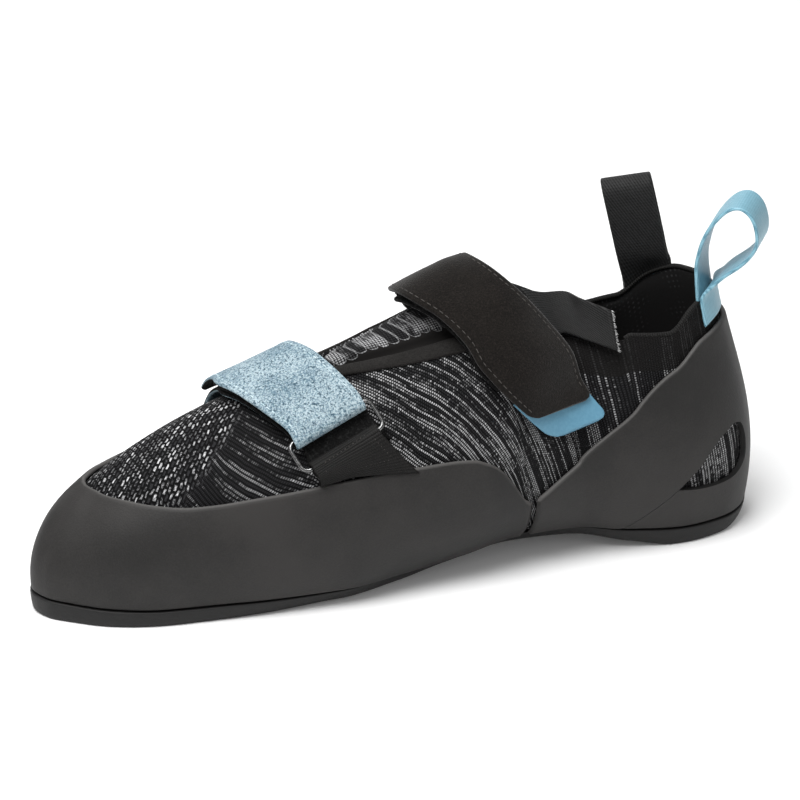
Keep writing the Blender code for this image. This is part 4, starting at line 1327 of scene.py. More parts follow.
@dataclass
class Tongue:
    """Tongue in the throat, with its pale drips towards each binding."""

    thickness: float = 0.0025
    first: float = 6.0
    last: float = 11.0
    narrowest: float = 0.12
    tip_rows: int = 12
    tip_step: float = 0.00085
    edge_radius: float = 0.0012

    def build(self, finishes: Wardrobe) -> None:
        """Builds and dresses the tongue.

        Args:
            finishes: the shoe's finishes.
        """
        places = np.linspace(self.first, self.last, 110)
        shares = np.array([-0.055, 0.0, 0.03, *np.linspace(0.08, 1.0, 20)])
        rises = np.interp(shares, (-0.055, 0.03, 0.28, 0.60, 1.0), (0.0, 0.0, 0.55, 1.0, 1.0))
        grid = []
        for place in places:
            edge = float(table_value(THROAT_EDGE, place))
            gap = max(1 - edge, self.narrowest)
            height = np.where(shares > 0, 1 - gap + shares * gap, 1 - gap + shares)
            opening = np.clip((height - edge - 0.015) / 0.03, 0, 1) * min((1 - edge) / 0.10, 1.0)
            sink = (WALL + 4 * SEAM_GAP) * (1 - rises * opening)
            halves = []
            for side in (1, -1):
                halves.append(FORM.point(side * place, height)
                              - sink[:, None] * FORM.normal(side * place, height))
            row = np.array([*halves[0], *halves[1][::-1][1:]])
            grid.append(row)
        tip = np.array(grid[-1])
        for k in range(1, self.tip_rows + 1):
            grid.append(tip + self.tip_step * k * np.array([-1.0, 0.0, -0.35 - 0.02 * k]))
        grid = np.array(grid)
        middle_column = grid.shape[1] // 2
        ridge = grid[:, middle_column]
        run = lengths(ridge)
        across = runs_across(grid)
        from_edge = np.minimum(across - across[:, 1:2], across[:, -2:-1] - across)
        drips = np.repeat(np.interp(run, (0, 0.015, 0.05, 0.062, 0.075), (0.8, 1.0, 1.0, 0.7, 0.0))[:, None],
                          grid.shape[1], axis=1)
        side = from_sides(across)
        end = from_ends(run)[:, None] + 0 * side
        half = self.thickness / 2 * rounding(side, self.edge_radius) * rounding(end, self.edge_radius)
        normals = grid_normals(grid)
        normals *= np.sign(normals[..., 2:3].mean() or 1.0)
        sheet = Sheet("tongue_knit", grid - self.thickness / 2 * normals, normals, half,
                      {"throat": np.stack([run[:, None] + 0 * side, from_edge], -1)}, {"drip": drips})
        made = make_object("tongue_piece", sheet.mesh(), [finishes.tongue])
        finish_piece(made, ("tongue",))


@dataclass
class Bindings:
    """Smooth padded binding along each edge of the throat."""

    width: float = 0.060
    thickness: float = 0.0012
    crown: float = 0.0006
    first: float = 7.0
    last: float = 11.0
    edge_share: float = 0.004
    end_taper: float = 0.006
    edge_radius: float = 0.0008
    sunk: tuple[float, float] = (0.0002, 0.0006)
    fill: float = 0.9

    def build(self, finishes: Wardrobe) -> None:
        """Builds and dresses both bindings.

        Args:
            finishes: the shoe's finishes.
        """
        places = np.linspace(self.first, self.last, 120)
        shares = np.linspace(0, 1, 13)
        for side, word in ((-1, "medial"), (1, "lateral")):
            edge = table_value(THROAT_EDGE, places)[:, None]
            height = edge - self.width + shares * (self.width - self.edge_share)
            low, high = FORM.point(side * places, height[:, 0]), FORM.point(side * places, height[:, -1])
            flat = low[:, None] + (high - low)[:, None] * shares[:, None]
            normals = FORM.normal(side * places[:, None], height)
            across = np.linalg.norm(high - low, axis=-1)[:, None] * shares
            run = lengths(flat[:, 6])[:, None] + 0 * across
            edge_gap, end_gap = from_sides(across), from_ends(run)
            crown, sunk = (self.crown, self.sunk[0]) if side < 0 else (0.0, self.sunk[1])
            pad = crown * np.sin(np.pi * shares) * np.clip(end_gap / self.end_taper, 0, 1)
            half = (self.thickness / 2 + pad / 2) * rounding(edge_gap, self.edge_radius) * rounding(
                end_gap, self.edge_radius)
            middle = flat + (self.thickness / 2 + pad / 2 - sunk)[..., None] * normals
            sheet = Sheet("binding_" + word, middle, normals, half,
                          {"ribbon": np.stack([across, run], -1)})
            made = make_object("binding_" + word, sheet.mesh(), [finishes.binding])
            finish_piece(made, ("throat_binding_" + word,))


# Rubber


@dataclass
class Rands:
    """Toe rand and heel rand: rubber just outside the upper, with rounded edges and knit windows."""

    thickness: float = RAND
    rows: int = 40
    toe_end: float = 10.14
    heel_start: float = 10.22
    step: float = 0.00035
    top_smoothing: float = 0.26
    edge_radius: float = 0.0010
    foot_radius: float = 0.0005

    def foot(self, place: Array) -> Array:
        """Height shares where the rubber starts, so that its lower corner just clears the sole.

        Args:
            place: section numbers.

        Returns:
            The height shares.
        """
        chord = np.linalg.norm(smooth_rows(FORM.upper, place) - smooth_rows(FORM.lower, place), axis=-1)
        flare, _, pull = np.moveaxis(smooth_rows(FORM.angles, place), -1, 0)
        rise = (self.thickness + SEAM_GAP) * np.tan(np.radians(flare)) / (3 * pull * chord)
        return np.maximum(rise + 0.002, 0)

    def sheet(self, name: str, place: Array) -> Sheet:
        """Sheet of rubber through sections, open at both ends.

        Args:
            name: the piece's name.
            place: section numbers.

        Returns:
            The sheet.
        """
        spread = np.linspace(-self.top_smoothing, self.top_smoothing, 9)
        top = np.mean([table_value(RAND_TOP, place + k) for k in spread], axis=0)
        ends = np.clip(np.minimum(np.abs(np.abs(place) - self.toe_end),
                                  np.abs(np.abs(place) - self.heel_start)) / self.top_smoothing, 0, 1)
        top = ends * top + (1 - ends) * table_value(RAND_TOP, place)
        foot = self.foot(place)
        share = np.sort(np.concatenate([np.linspace(0, 1, self.rows), [0.004, 0.010, 0.985, 0.993, 0.998]]))
        height = foot[:, None] + (top - foot)[:, None] * share
        face = FORM.point(place[:, None], height)
        normals = FORM.normal(place[:, None], height)
        rise = runs_across(face)
        run = lengths(face[:, len(share) // 3])[:, None] + 0 * rise
        end = from_ends(run)
        from_top = rise[:, -1:] - rise
        half = self.thickness / 2 * rounding(np.minimum(from_top, end), self.edge_radius) * rounding(
            rise, self.foot_radius)
        # Band along the top edge that takes the rubber's painted highlight
        rim = np.clip(1 - from_top / 0.0011, 0, 1)
        seam = self.seam_distance(place[:, None] + 0 * height, height)
        raised = self.step * np.clip(seam / 0.0006 + 0.5, 0, 1) * np.clip(from_top / 0.004, 0, 1)
        middle = face + (SEAM_GAP + self.thickness / 2) * normals
        middle = middle + ((raised - self.step * 0.5) * (np.abs(seam) < 0.05))[..., None] * normals * 0.6
        return Sheet(name, middle, normals, half, {"ribbon": np.stack([rise, run], -1)},
                     {"rim": rim, "seam": seam})

    def seam_distance(self, place: Array, height: Array) -> Array:
        """Signed distance, in metres, from the line where the heel band ends over the heel cup.

        Args:
            place: section numbers.
            height: height shares.

        Returns:
            The distances, 1 away from the seam.
        """
        along = (np.abs(place) - 11.75) / (12.82 - 11.75)
        line = 0.215 * np.clip(along, 0, 1.0)
        distance = (height - line) * 0.085 * 0.8
        return np.where((np.abs(place) > 11.6) & (np.abs(place) < 12.9), distance, 1.0)

    def window(self, side: int, word: str) -> Object:
        """Cutter of one knit window, with a smooth outline.

        Args:
            side: 1 lateral, -1 medial.
            word: the side's name.

        Returns:
            The cutter.
        """
        ring = np.array([*HEEL_WINDOW, HEEL_WINDOW[0]])
        fine = path_through(ring, 6)[:-1]
        if side > 0:
            fine = fine[::-1]
        centre = np.mean(fine, axis=0)
        corners = np.array([*fine, centre])
        bm = bmesh.new()
        rings = []
        for depth in (-0.002, 0.007):
            points = FORM.point(side * corners[:, 0], corners[:, 1]) + depth * FORM.normal(
                side * corners[:, 0], corners[:, 1]) + TO_WORLD
            rings.append([bm.verts.new(Vector(point)) for point in points])
        inner, outer = rings
        count = len(fine)
        for k in range(count):
            after = (k + 1) % count
            bm.faces.new((outer[k], outer[after], outer[count]))
            bm.faces.new((inner[after], inner[k], inner[count]))
            bm.faces.new((inner[k], inner[after], outer[after], outer[k]))
        bmesh.ops.recalc_face_normals(bm, faces=bm.faces)
        mesh = bpy.data.meshes.new("cutter_" + word)
        bm.to_mesh(mesh)
        bm.free()
        return make_object("cutter_" + word, mesh, [])

    def build(self, finishes: Wardrobe) -> None:
        """Builds and dresses both rands.

        Args:
            finishes: the shoe's finishes.
        """
        toe = self.sheet("toe_rubber", np.linspace(-self.toe_end, self.toe_end, 300))
        finish_piece(make_object("toe_rubber", toe.mesh(), [finishes.rubber]), ("toe_rand",))
        place = np.concatenate([np.linspace(self.heel_start, 16, 140),
                                np.linspace(-16, -self.heel_start, 140)[1:]])
        heel = make_object("heel_rubber", self.sheet("heel_rubber", place).mesh(), [finishes.rubber])
        cutters = [self.window(-1, "medial"), self.window(1, "lateral")]
        for cutter in cutters:
            cut = heel.modifiers.new(cutter.name, "BOOLEAN")
            cut.operation, cut.solver, cut.object = "DIFFERENCE", "EXACT", cutter
        bpy.context.view_layer.update()
        ready = heel.evaluated_get(bpy.context.evaluated_depsgraph_get())
        mesh = bpy.data.meshes.new_from_object(ready)
        heel.modifiers.clear()
        heel.data = mesh
        mesh.shade_smooth()
        mesh.set_sharp_from_angle(angle=SHARP_ANGLE)
        for cutter in cutters:
            bpy.data.objects.remove(cutter)
        finish_piece(heel, ("heel_rand",))


class Tread(NamedTuple):
    """Underside of the sole at a section: lift, margin beyond the upper and undercut, as shares."""

    med_lift: float
    lat_lift: float
    med_margin: float
    lat_margin: float
    med_under: float
    lat_under: float


TREAD = (
    Tread(0.00, 0.00, 1.20, 1.20, 0.20, 0.30),
    Tread(0.00, 0.00, 1.20, 1.20, 0.20, 0.30),
    Tread(0.00, 0.00, 1.25, 1.25, 0.20, 0.30),
    Tread(0.00, 0.00, 1.30, 1.30, 0.25, 0.30),
    Tread(0.00, 0.00, 1.30, 1.30, 0.35, 0.35),
    Tread(0.00, 0.00, 1.30, 1.30, 0.70, 0.40),
    Tread(0.00, 0.00, 1.15, 1.30, 1.60, 0.45),
    Tread(0.00, 0.00, 0.80, 1.25, 2.50, 0.55),
    Tread(0.10, 0.00, 0.60, 1.10, 2.40, 0.80),
    Tread(0.45, 0.15, 0.55, 0.95, 2.00, 1.00),
    Tread(0.85, 0.35, 0.55, 0.85, 1.50, 1.00),
    Tread(0.98, 0.35, 0.70, 0.95, 1.00, 0.80),
    Tread(0.50, 0.06, 1.00, 1.15, 0.70, 0.60),
    Tread(0.00, 0.00, 1.25, 1.25, 0.60, 0.60),
    Tread(0.00, 0.00, 1.25, 1.25, 0.80, 0.80),
    Tread(0.00, 0.00, 1.10, 1.10, 1.20, 1.20),
    Tread(0.00, 0.00, 1.05, 1.05, 1.50, 1.50),
)


@dataclass
class Sole:
    """Outsole with its sloping, softly rounded edge, and the footbed inside."""

    fit_gap: float = 0.0003
    insole: float = 0.0020
    flat_cut: float = 0.055
    rim_radius: float = 0.0011
    footbed_radius: float = 0.0008
    stations: int = 320
    across: int = 16

    def plate(self, name: str, rings: list[Array], material: Material,
              node: str) -> None:
        """Closed plate through rings of points, its two faces filled by strips across.

        Args:
            name: the piece's name.
            rings: rings of points, from the top down.
            material: its finish.
            node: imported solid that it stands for.
        """
        count = len(rings[0])
        half = count // 2
        bm = bmesh.new()
        verts = [[bm.verts.new(Vector(point + TO_WORLD)) for point in ring] for ring in rings]
        for upper, lower in zip(verts, verts[1:]):
            for k in range(count):
                after = (k + 1) % count
                bm.faces.new((upper[k], upper[after], lower[after], lower[k]))
        for ring, turned in ((verts[0], True), (verts[-1], False)):
            strips = [[ring[0]] * (self.across + 1)]
            for k in range(1, half):
                left, right = ring[k], ring[count - k]
                inner = [bm.verts.new(left.co.lerp(right.co, s / self.across)) for s in range(1, self.across)]
                strips.append([left, *inner, right])
            strips.append([ring[half]] * (self.across + 1))
            for before, after_row in zip(strips, strips[1:]):
                for s in range(self.across):
                    corners = list(dict.fromkeys([before[s], before[s + 1], after_row[s + 1], after_row[s]]))
                    if len(corners) > 2:
                        bm.faces.new(corners[::-1] if turned else corners)
        bmesh.ops.recalc_face_normals(bm, faces=bm.faces)
        mesh = bpy.data.meshes.new(name)
        bm.to_mesh(mesh)
        bm.free()
        mesh.shade_smooth()
        mesh.set_sharp_from_angle(angle=SHARP_ANGLE)
        finish_piece(make_object(name, mesh, [material]), (node,))

    def build(self, finishes: Wardrobe) -> None:
        """Builds and dresses the outsole and the footbed.

        Args:
            finishes: the shoe's finishes.
        """
        by_row = {}
        for row, tread in enumerate(TREAD):
            by_row[-row] = (tread.med_lift * FORM.sole_toe, tread.med_margin * (RAND + SEAM_GAP),
                            tread.med_under * RAND)
            by_row[row] = (tread.lat_lift * FORM.sole_toe, tread.lat_margin * (RAND + SEAM_GAP),
                           tread.lat_under * RAND)
        place = np.linspace(-LAST_ROW, LAST_ROW, self.stations, endpoint=False)
        lift, margin, under = np.moveaxis(smooth_rows(closed(by_row), place), -1, 0)[..., None]
        foot, out = smooth_rows(FORM.lower, place), FORM.outward(place)
        lift = np.maximum(lift - self.flat_cut * FORM.sole_toe, 0)
        high = foot[:, 2:3] - self.fit_gap
        rings = []
        for fall, inset in ((0.0, 0.45), (0.015, 0.18), (0.05, 0.05), (0.12, 0.0), (0.35, -0.02), (0.60, 0.0),
                            (0.80, 0.10), (0.93, 0.28), (0.985, 0.50), (1.0, 0.80)):
            slope = np.clip(fall, 0, 1)
            edge = foot + margin * out - under * (0.30 * slope + 0.70 * slope ** 2) * out
            edge = edge - self.rim_radius * inset * out
            level = high + (lift - high) * fall
            rings.append(np.concatenate([edge[:, :2], level], axis=1))
        self.plate("outsole_rubber", rings, finishes.rubber, "outsole")
        inner = foot - (WALL + 2 * self.fit_gap) * out
        rings = []
        for rise, inset in ((1.0, 0.6), (0.9, 0.15), (0.6, 0.0), (0.0, 0.0)):
            rings.append(inner - self.footbed_radius * inset * out + np.array([0, 0, rise * self.insole]))
        self.plate("footbed", rings, finishes.footbed, "insole")


# Straps


class Rail(NamedTuple):
    """Both edges of a strap at one row: section and girth of each, and the clearances there."""

    front_place: float
    front_girth: float
    rear_place: float
    rear_girth: float
    front_clear: float
    rear_clear: float


class Seat(NamedTuple):
    """Where a ring sits: section and girth of its front and rear ends."""

    front_place: float
    front_girth: float
    rear_place: float
    rear_girth: float


def point_over(target: Array, place: Array, girth: Array, along: Array, normal: Array) -> tuple[Array, Array]:
    """Where the upper lies under or over points, looking along a normal.

    Args:
        target: points of a strap's row.
        place: first guess of their sections.
        girth: first guess of their girths.
        along: the row's own direction.
        normal: the direction to look along.

    Returns:
        Points of the upper and its normals there.
    """
    sideways = np.cross(normal, along)
    for _ in range(4):
        here = FORM.girth_point(place, girth)
        by_place = (FORM.girth_point(place + 0.05, girth) - here) / 0.05
        by_girth = (FORM.girth_point(place, girth + 0.01) - here) / 0.01
        a, b = by_place @ along, by_girth @ along
        c, d = by_place @ sideways, by_girth @ sideways
        first, second = (target - here) @ along, (target - here) @ sideways
        scale = a * d - b * c
        place = place + np.clip((first * d - second * b) / scale, -0.6, 0.6)
        girth = girth + np.clip((second * a - first * c) / scale, -0.08, 0.08)
    return FORM.girth_point(place, girth), FORM.girth_normal(place, girth)


@dataclass
class StrapSet:
    """Strap, hook layer, ring and keeper across the instep."""

    name: str
    rails: tuple[Rail, ...]
    seat: Seat
    keeper: Rail
    width: float
    down: int
    hook_rows: tuple[int, int]
    free_from: int
    free_rows: tuple[Rail, ...] = ()
    underlay: tuple[Rail, ...] = ()
    strap: float = 0.0016
    hook: float = 0.0014
    keeper_thickness: float = 0.0012
    underlay_thickness: float = 0.0008
    wire: float = 0.0010
    fit_gap: float = 0.0003
    clear: float = 0.0024
    ring_height: float = 0.0110
    ring_lift: float = 0.0042
    tab: float = 0.0012
    ring_corner: float = 0.0026
    ring_room: float = 0.0012
    wire_drawn: float = 0.78
    strap_flat: float = 0.0040
    hook_inset: float = 0.02
    keeper_margin: float = 0.0010
    keeper_near: float = 0.0035
    keeper_flat: float = 0.0020
    tip_radius: float = 0.0042
    fine: int = 8
    columns: Array = field(default_factory=lambda: np.array(
        [0.0, 0.006, 0.016, 0.03, *np.linspace(0.07, 0.93, 17), 0.97, 0.984, 0.994, 1.0]))

    def row(self, rail: Rail, lifts: tuple[float, float]) -> Array:
        """Points straight across the strap between its rails, lifted over the upper.

        Args:
            rail: the row's two edges.
            lifts: of the front and the rear edge.

        Returns:
            The points.
        """
        front = FORM.girth_point(rail.front_place, rail.front_girth)
        rear = FORM.girth_point(rail.rear_place, rail.rear_girth)
        along = unit(rear - front)
        normal = FORM.girth_normal((rail.front_place + rail.rear_place) / 2,
                                   (rail.front_girth + rail.rear_girth) / 2)
        normal = unit(normal - (normal @ along) * along)
        share = self.columns
        target = front + share[:, None] * (rear - front)
        place = rail.front_place + share * (rail.rear_place - rail.front_place)
        girth = rail.front_girth + share * (rail.rear_girth - rail.front_girth)
        under, tilt = point_over(target, place, girth, along, normal)
        lift = (lifts[0] + share * (lifts[1] - lifts[0])) / np.maximum(tilt @ normal, 0.6)
        return target + (np.maximum((under - target) @ normal, 0.0) + lift)[:, None] * normal

    def lifted(self, rail: Rail, base: float) -> Array:
        """Row at a rail, lifted by a base and the rail's own clearances."""
        return self.row(rail, (base + rail.front_clear * self.clear, base + rail.rear_clear * self.clear))

    def frame(self) -> tuple[Array, Array, Array, Array]:
        """Centre of the ring and its axes: along its bars, towards its keeper, outward.

        Returns:
            The centre and the three axes.
        """
        seat = self.seat
        front = FORM.girth_point(seat.front_place, seat.front_girth)
        rear = FORM.girth_point(seat.rear_place, seat.rear_girth)
        across = unit(front - rear)
        normal = FORM.girth_normal((seat.front_place + seat.rear_place) / 2,
                                   (seat.front_girth + seat.rear_girth) / 2)
        normal = unit(normal - (normal @ across) * across)
        toward = unit(np.cross(normal, across)) * self.down
        return (front + rear) / 2 + self.ring_lift * normal, across, toward, normal

    def level(self, centre: Array, across: Array, width: float) -> Array:
        """Straight row of points about a centre, along the ring's bars."""
        return centre[None] + across * width * (0.5 - self.columns[:, None])

    def bar_row(self, bar: Array, axes: tuple[Array, Array, Array], radius: float, width: float,
                back: float) -> Array:
        """Row of points lying under a bar, a little before it."""
        across, toward, normal = axes
        return self.level(bar - radius * normal - back * toward, across, width)

    def turn(self, bar: Array, axes: tuple[Array, Array, Array], radius: float, width: float) -> Array:
        """Half turn round a bar, from under it to over it.

        Args:
            bar: middle of the bar.
            axes: along the bar, towards the free side, outward.
            radius: of the ribbon's middle round the bar.
            width: of the ribbon.

        Returns:
            Rows of points.
        """
        across, toward, normal = axes
        rows = []
        for angle in np.radians(np.linspace(-90, 90, 15)):
            hub = bar + radius * (math.cos(angle) * toward + math.sin(angle) * normal)
            rows.append(self.level(hub, across, width))
        return np.array(rows)

    def lay(self, rows: list[Array], bar: Array, axes: tuple[Array, Array, Array], radius: float,
            width: float, sign: int, end_radius: float, back: float) -> tuple[Array, Array, Array]:
        """Lower run to a bar, the turn round it and the run back over the lower one.

        Args:
            rows: rows of the lower run from its sewn end.
            bar: middle of the bar.
            axes: along the bar, towards the free side, outward.
            radius: of the ribbon's middle round the bar.
            width: of the ribbon.
            sign: 1 where the grid's normals point outward, else -1.
            end_radius: half the distance between the runs at the sewn end.
            back: how far before the bar the run lies flat.

        Returns:
            Lower run, turn and upper run, each from the sewn end to the bar.
        """
        rows = [*rows, self.bar_row(bar, axes, radius, width, back),
                self.bar_row(bar, axes, radius, width, 0.0)]
        lower = path_through(np.array(rows), self.fine)
        normals = sign * grid_normals(lower)
        share = np.minimum(np.arange(len(lower)) / (self.fine * 2.0), 1.0)
        share = share * share * (3 - 2 * share)
        spread = 2 * (end_radius + (radius - end_radius) * share)
        return lower, self.turn(bar, axes, radius, width)[1:-1], lower + spread[:, None, None] * normals

    def round_tip(self, grid: Array, radius: float) -> Array:
        """Draws in the corners of a ribbon's first rows to a radius.

        Args:
            grid: rows from the tip.
            radius: of the corners.

        Returns:
            The grid with its corners drawn in.
        """
        grid = np.array(grid)
        run = lengths(grid[:, grid.shape[1] // 2])
        centre = grid.mean(axis=1, keepdims=True)
        for k in range(len(grid)):
            if run[k] >= radius:
                break
            width = np.linalg.norm(grid[k, -1] - grid[k, 0])
            inset = radius - math.sqrt(radius ** 2 - (radius - run[k]) ** 2)
            grid[k] = centre[k] + (grid[k] - centre[k]) * (1 - 2 * inset / width)
        return grid

    def ring(self, middle: Array, across: Array, toward: Array, finishes: Wardrobe) -> None:
        """Rounded rectangle of wire about a centre.

        Args:
            middle: the ring's centre.
            across: along its bars.
            toward: towards its keeper.
            finishes: the shoe's finishes.
        """
        corner = self.ring_corner
        half_height, half_width = self.ring_height / 2, self.width / 2 + self.wire + self.ring_room
        points = []
        for x_sign, y_sign, start in ((1, 1, 0), (-1, 1, 90), (-1, -1, 180), (1, -1, 270)):
            hub = (middle + across * x_sign * (half_width - corner)
                   + toward * y_sign * (half_height - corner))
            for angle in np.radians(start + np.linspace(0, 90, 9)):
                points.append(hub + corner * (math.cos(angle) * across + math.sin(angle) * toward))
        curve = bpy.data.curves.new(self.name + "_wire", "CURVE")
        curve.dimensions = "3D"
        spline = curve.splines.new("POLY")
        spline.points.add(len(points) - 1)
        for knot, point in zip(spline.points, points):
            knot.co = (point[0] - HEEL_SEAT, point[1], point[2], 1.0)
        spline.use_cyclic_u = True
        curve.bevel_depth, curve.bevel_resolution = self.wire * self.wire_drawn, 6
        curve.materials.append(finishes.wire)
        made = bpy.data.objects.new(self.name + "_wire", curve)
        bpy.context.scene.collection.objects.link(made)
        finish_piece(made, (self.name + "_ring",))

    def build(self, cloth: Material, thread: Material, slot: str, finishes: Wardrobe) -> None:
        """Builds and dresses the whole set.

        Args:
            cloth: the strap's finish.
            thread: the finish of its stitches.
            slot: material slot of the strap in the record.
            finishes: the shoe's finishes.
        """
        lower = self.build_strap(cloth, thread, slot, finishes)
        self.build_hook(lower, finishes)
        fold = self.build_keeper(finishes)
        middle, across, toward, _ = self.frame()
        self.ring(middle, across, toward, finishes)
        # Row of pale dots along the crest of the keeper's fold over the ring's bar: a painted highlight where
        # its ribs catch the light, made as tiny stitches
        out = np.repeat(toward[None], len(fold), axis=0)
        crest = fold + (self.keeper_thickness / 2) * toward
        Stitches(self.name + "_keeper_glints", pitch=0.0009, length=0.0004, radius=0.00010).build(
            [(crest, out)], finishes.pale_thread_and_glints, "black_webbing")

    def build_strap(self, cloth: Material, thread: Material, slot: str, finishes: Wardrobe) -> Array:
        """Builds the strap, turned round the ring's bar, and its two rows of stitches.

        Args:
            cloth: the strap's finish.
            thread: the finish of its stitches.
            slot: material slot of the strap in the record.
            finishes: the shoe's finishes.

        Returns:
            Points of its lower run.
        """
        middle, across, toward, normal = self.frame()
        radius = self.wire + self.fit_gap + self.strap / 2
        rows = [self.lifted(rail, SEAM_GAP + self.strap / 2) for rail in self.rails]
        bar = middle - self.ring_height / 2 * toward
        lower, turn, upper = self.lay(rows, bar, (across, toward, normal), radius, self.width, self.down,
                                      radius, self.strap_flat)
        back = upper[::-1][:len(upper) - self.free_from * self.fine // 2]
        if self.free_rows:
            over = 4 * SEAM_GAP + self.tab + self.strap / 2
            tail = [self.lifted(rail, over) for rail in self.free_rows]
            joined = path_through(np.array([*tail, upper[0], upper[self.fine]]), self.fine)
            back = np.array([*upper[::-1][:-self.fine - 1], *joined[::-1]])
        back = self.round_tip(back[::-1], self.tip_radius)[::-1]
        strap = np.array([*lower, *turn, *back])
        sides = (finishes.hook, cloth) if self.down > 0 else (cloth, finishes.hook)
        Ribbon(self.name + "_strap_cloth", strap, self.strap, *sides).build(slot, (self.name + "_strap",))
        facing = grid_normals(back) * -self.down
        lines = []
        for column in (4, len(self.columns) - 5):
            face = back[:-3, column] + (self.strap / 2) * facing[:-3, column]
            lines.append((face, facing[:-3, column]))
        Stitches(self.name + "_strap_stitches").build(lines, thread, slot)
        return lower

    def build_hook(self, lower: Array, finishes: Wardrobe) -> None:
        """Builds the hook layer between the strap's two runs.

        Args:
            lower: points of the strap's lower run.
            finishes: the shoe's finishes.
        """
        first, last = self.hook_rows
        scale = self.fine // 2
        last = last * scale if last > 0 else len(lower) + last * scale
        radius = self.wire + self.fit_gap + self.strap / 2
        layer = (lower + radius * self.down * grid_normals(lower))[first * scale:last]
        layer = layer + self.hook_inset * (layer[:, ::-1] - layer)
        Ribbon(self.name + "_hook_cloth", layer, self.hook, finishes.hook).build(
            "black_webbing", (self.name + "_strap_hook",))

    def build_keeper(self, finishes: Wardrobe) -> Array:
        """Builds the folded webbing that holds the ring, its stitches and the layer under the ring.

        Args:
            finishes: the shoe's finishes.

        Returns:
            Points of the fold's crest line.
        """
        middle, across, toward, normal = self.frame()
        radius = self.wire + self.fit_gap + self.keeper_thickness / 2
        width = self.width - self.keeper_margin
        bar, axes = middle + self.ring_height / 2 * toward, (across, -toward, normal)
        sewn = self.lifted(self.keeper, SEAM_GAP + self.keeper_thickness / 2)
        near = self.bar_row(bar, axes, radius, width, self.keeper_near)
        low, turn, high = self.lay([sewn, (sewn + near) / 2], bar, axes, radius, width, -self.down,
                                   self.keeper_thickness / 2 + self.fit_gap, self.keeper_flat)
        keeper = np.array([*low, *turn, *high[::-1]])
        Ribbon(self.name + "_keeper_webbing", keeper, self.keeper_thickness, finishes.ribbed).build(
            "black_webbing", (self.name + "_keeper",))
        if self.underlay:
            lift = self.fit_gap + self.underlay_thickness / 2
            rows = np.array([self.row(rail, (lift, lift)) for rail in self.underlay])
            patch = Ribbon(self.name + "_underlay", path_through(rows, self.fine), self.underlay_thickness,
                           finishes.hook)
            patch.build("black_webbing")
        face = high + (self.keeper_thickness / 2) * normal
        box = face[len(face) // 3:-self.fine // 2]
        lines = []
        for line in (box[0, 5:-5], box[-1, 5:-5], box[:, 5], box[:, -6]):
            lines.append((line, np.repeat(normal[None], len(line), axis=0)))
        Stitches(self.name + "_keeper_stitches", pitch=0.0016, length=0.0006, radius=0.00012).build(
            lines, finishes.dark_thread, "black_webbing")
        return turn[len(turn) // 2]


FRONT = StrapSet(
    name="front",
    rails=(Rail(5.70, 0.495, 6.95, 0.495, 0.00, 0.00), Rail(5.62, 0.610, 6.90, 0.610, 0.40, 0.45),
           Rail(5.50, 0.730, 6.84, 0.730, 0.60, 0.80), Rail(5.33, 0.870, 6.76, 0.850, 0.60, 1.00),
           Rail(5.14, 0.985, 6.74, 0.960, 0.50, 1.20), Rail(5.42, 1.090, 6.92, 1.055, 0.45, 1.10),
           Rail(5.76, 1.205, 7.08, 1.150, 0.35, 0.80)),
    seat=Seat(6.38, 1.425, 7.29, 1.350),
    keeper=Rail(6.58, 1.514, 7.96, 1.572, 0.30, 0.0),
    underlay=(Rail(6.30, 1.335, 7.24, 1.262, 0, 0), Rail(6.40, 1.425, 7.36, 1.350, 0, 0),
              Rail(6.52, 1.500, 7.56, 1.440, 0, 0)),
    width=0.0275, down=1, hook_rows=(5, -2), free_from=2)

REAR = StrapSet(
    name="rear",
    rails=(Rail(9.29, 1.389, 11.00, 1.260, 0.75, 0.75), Rail(9.04, 1.313, 10.66, 1.187, 0.90, 1.05),
           Rail(8.92, 1.235, 10.35, 1.130, 1.40, 1.45), Rail(8.70, 1.145, 10.06, 1.054, 2.10, 1.80),
           Rail(8.46, 1.060, 9.80, 0.975, 2.60, 1.90), Rail(8.40, 0.955, 9.90, 0.880, 1.50, 1.60),
           Rail(8.54, 0.840, 10.05, 0.770, 1.30, 1.50), Rail(8.72, 0.725, 10.22, 0.655, 0.75, 0.90)),
    seat=Seat(8.92, 0.590, 10.36, 0.515),
    keeper=Rail(8.92, 0.462, 10.40, 0.385, 0.0, 0.0),
    free_rows=(Rail(10.14, 1.492, 11.44, 1.352, 0.0, 0.0), Rail(9.72, 1.460, 11.26, 1.318, 0.35, 0.35)),
    width=0.0300, down=-1, hook_rows=(1, 8), free_from=0)


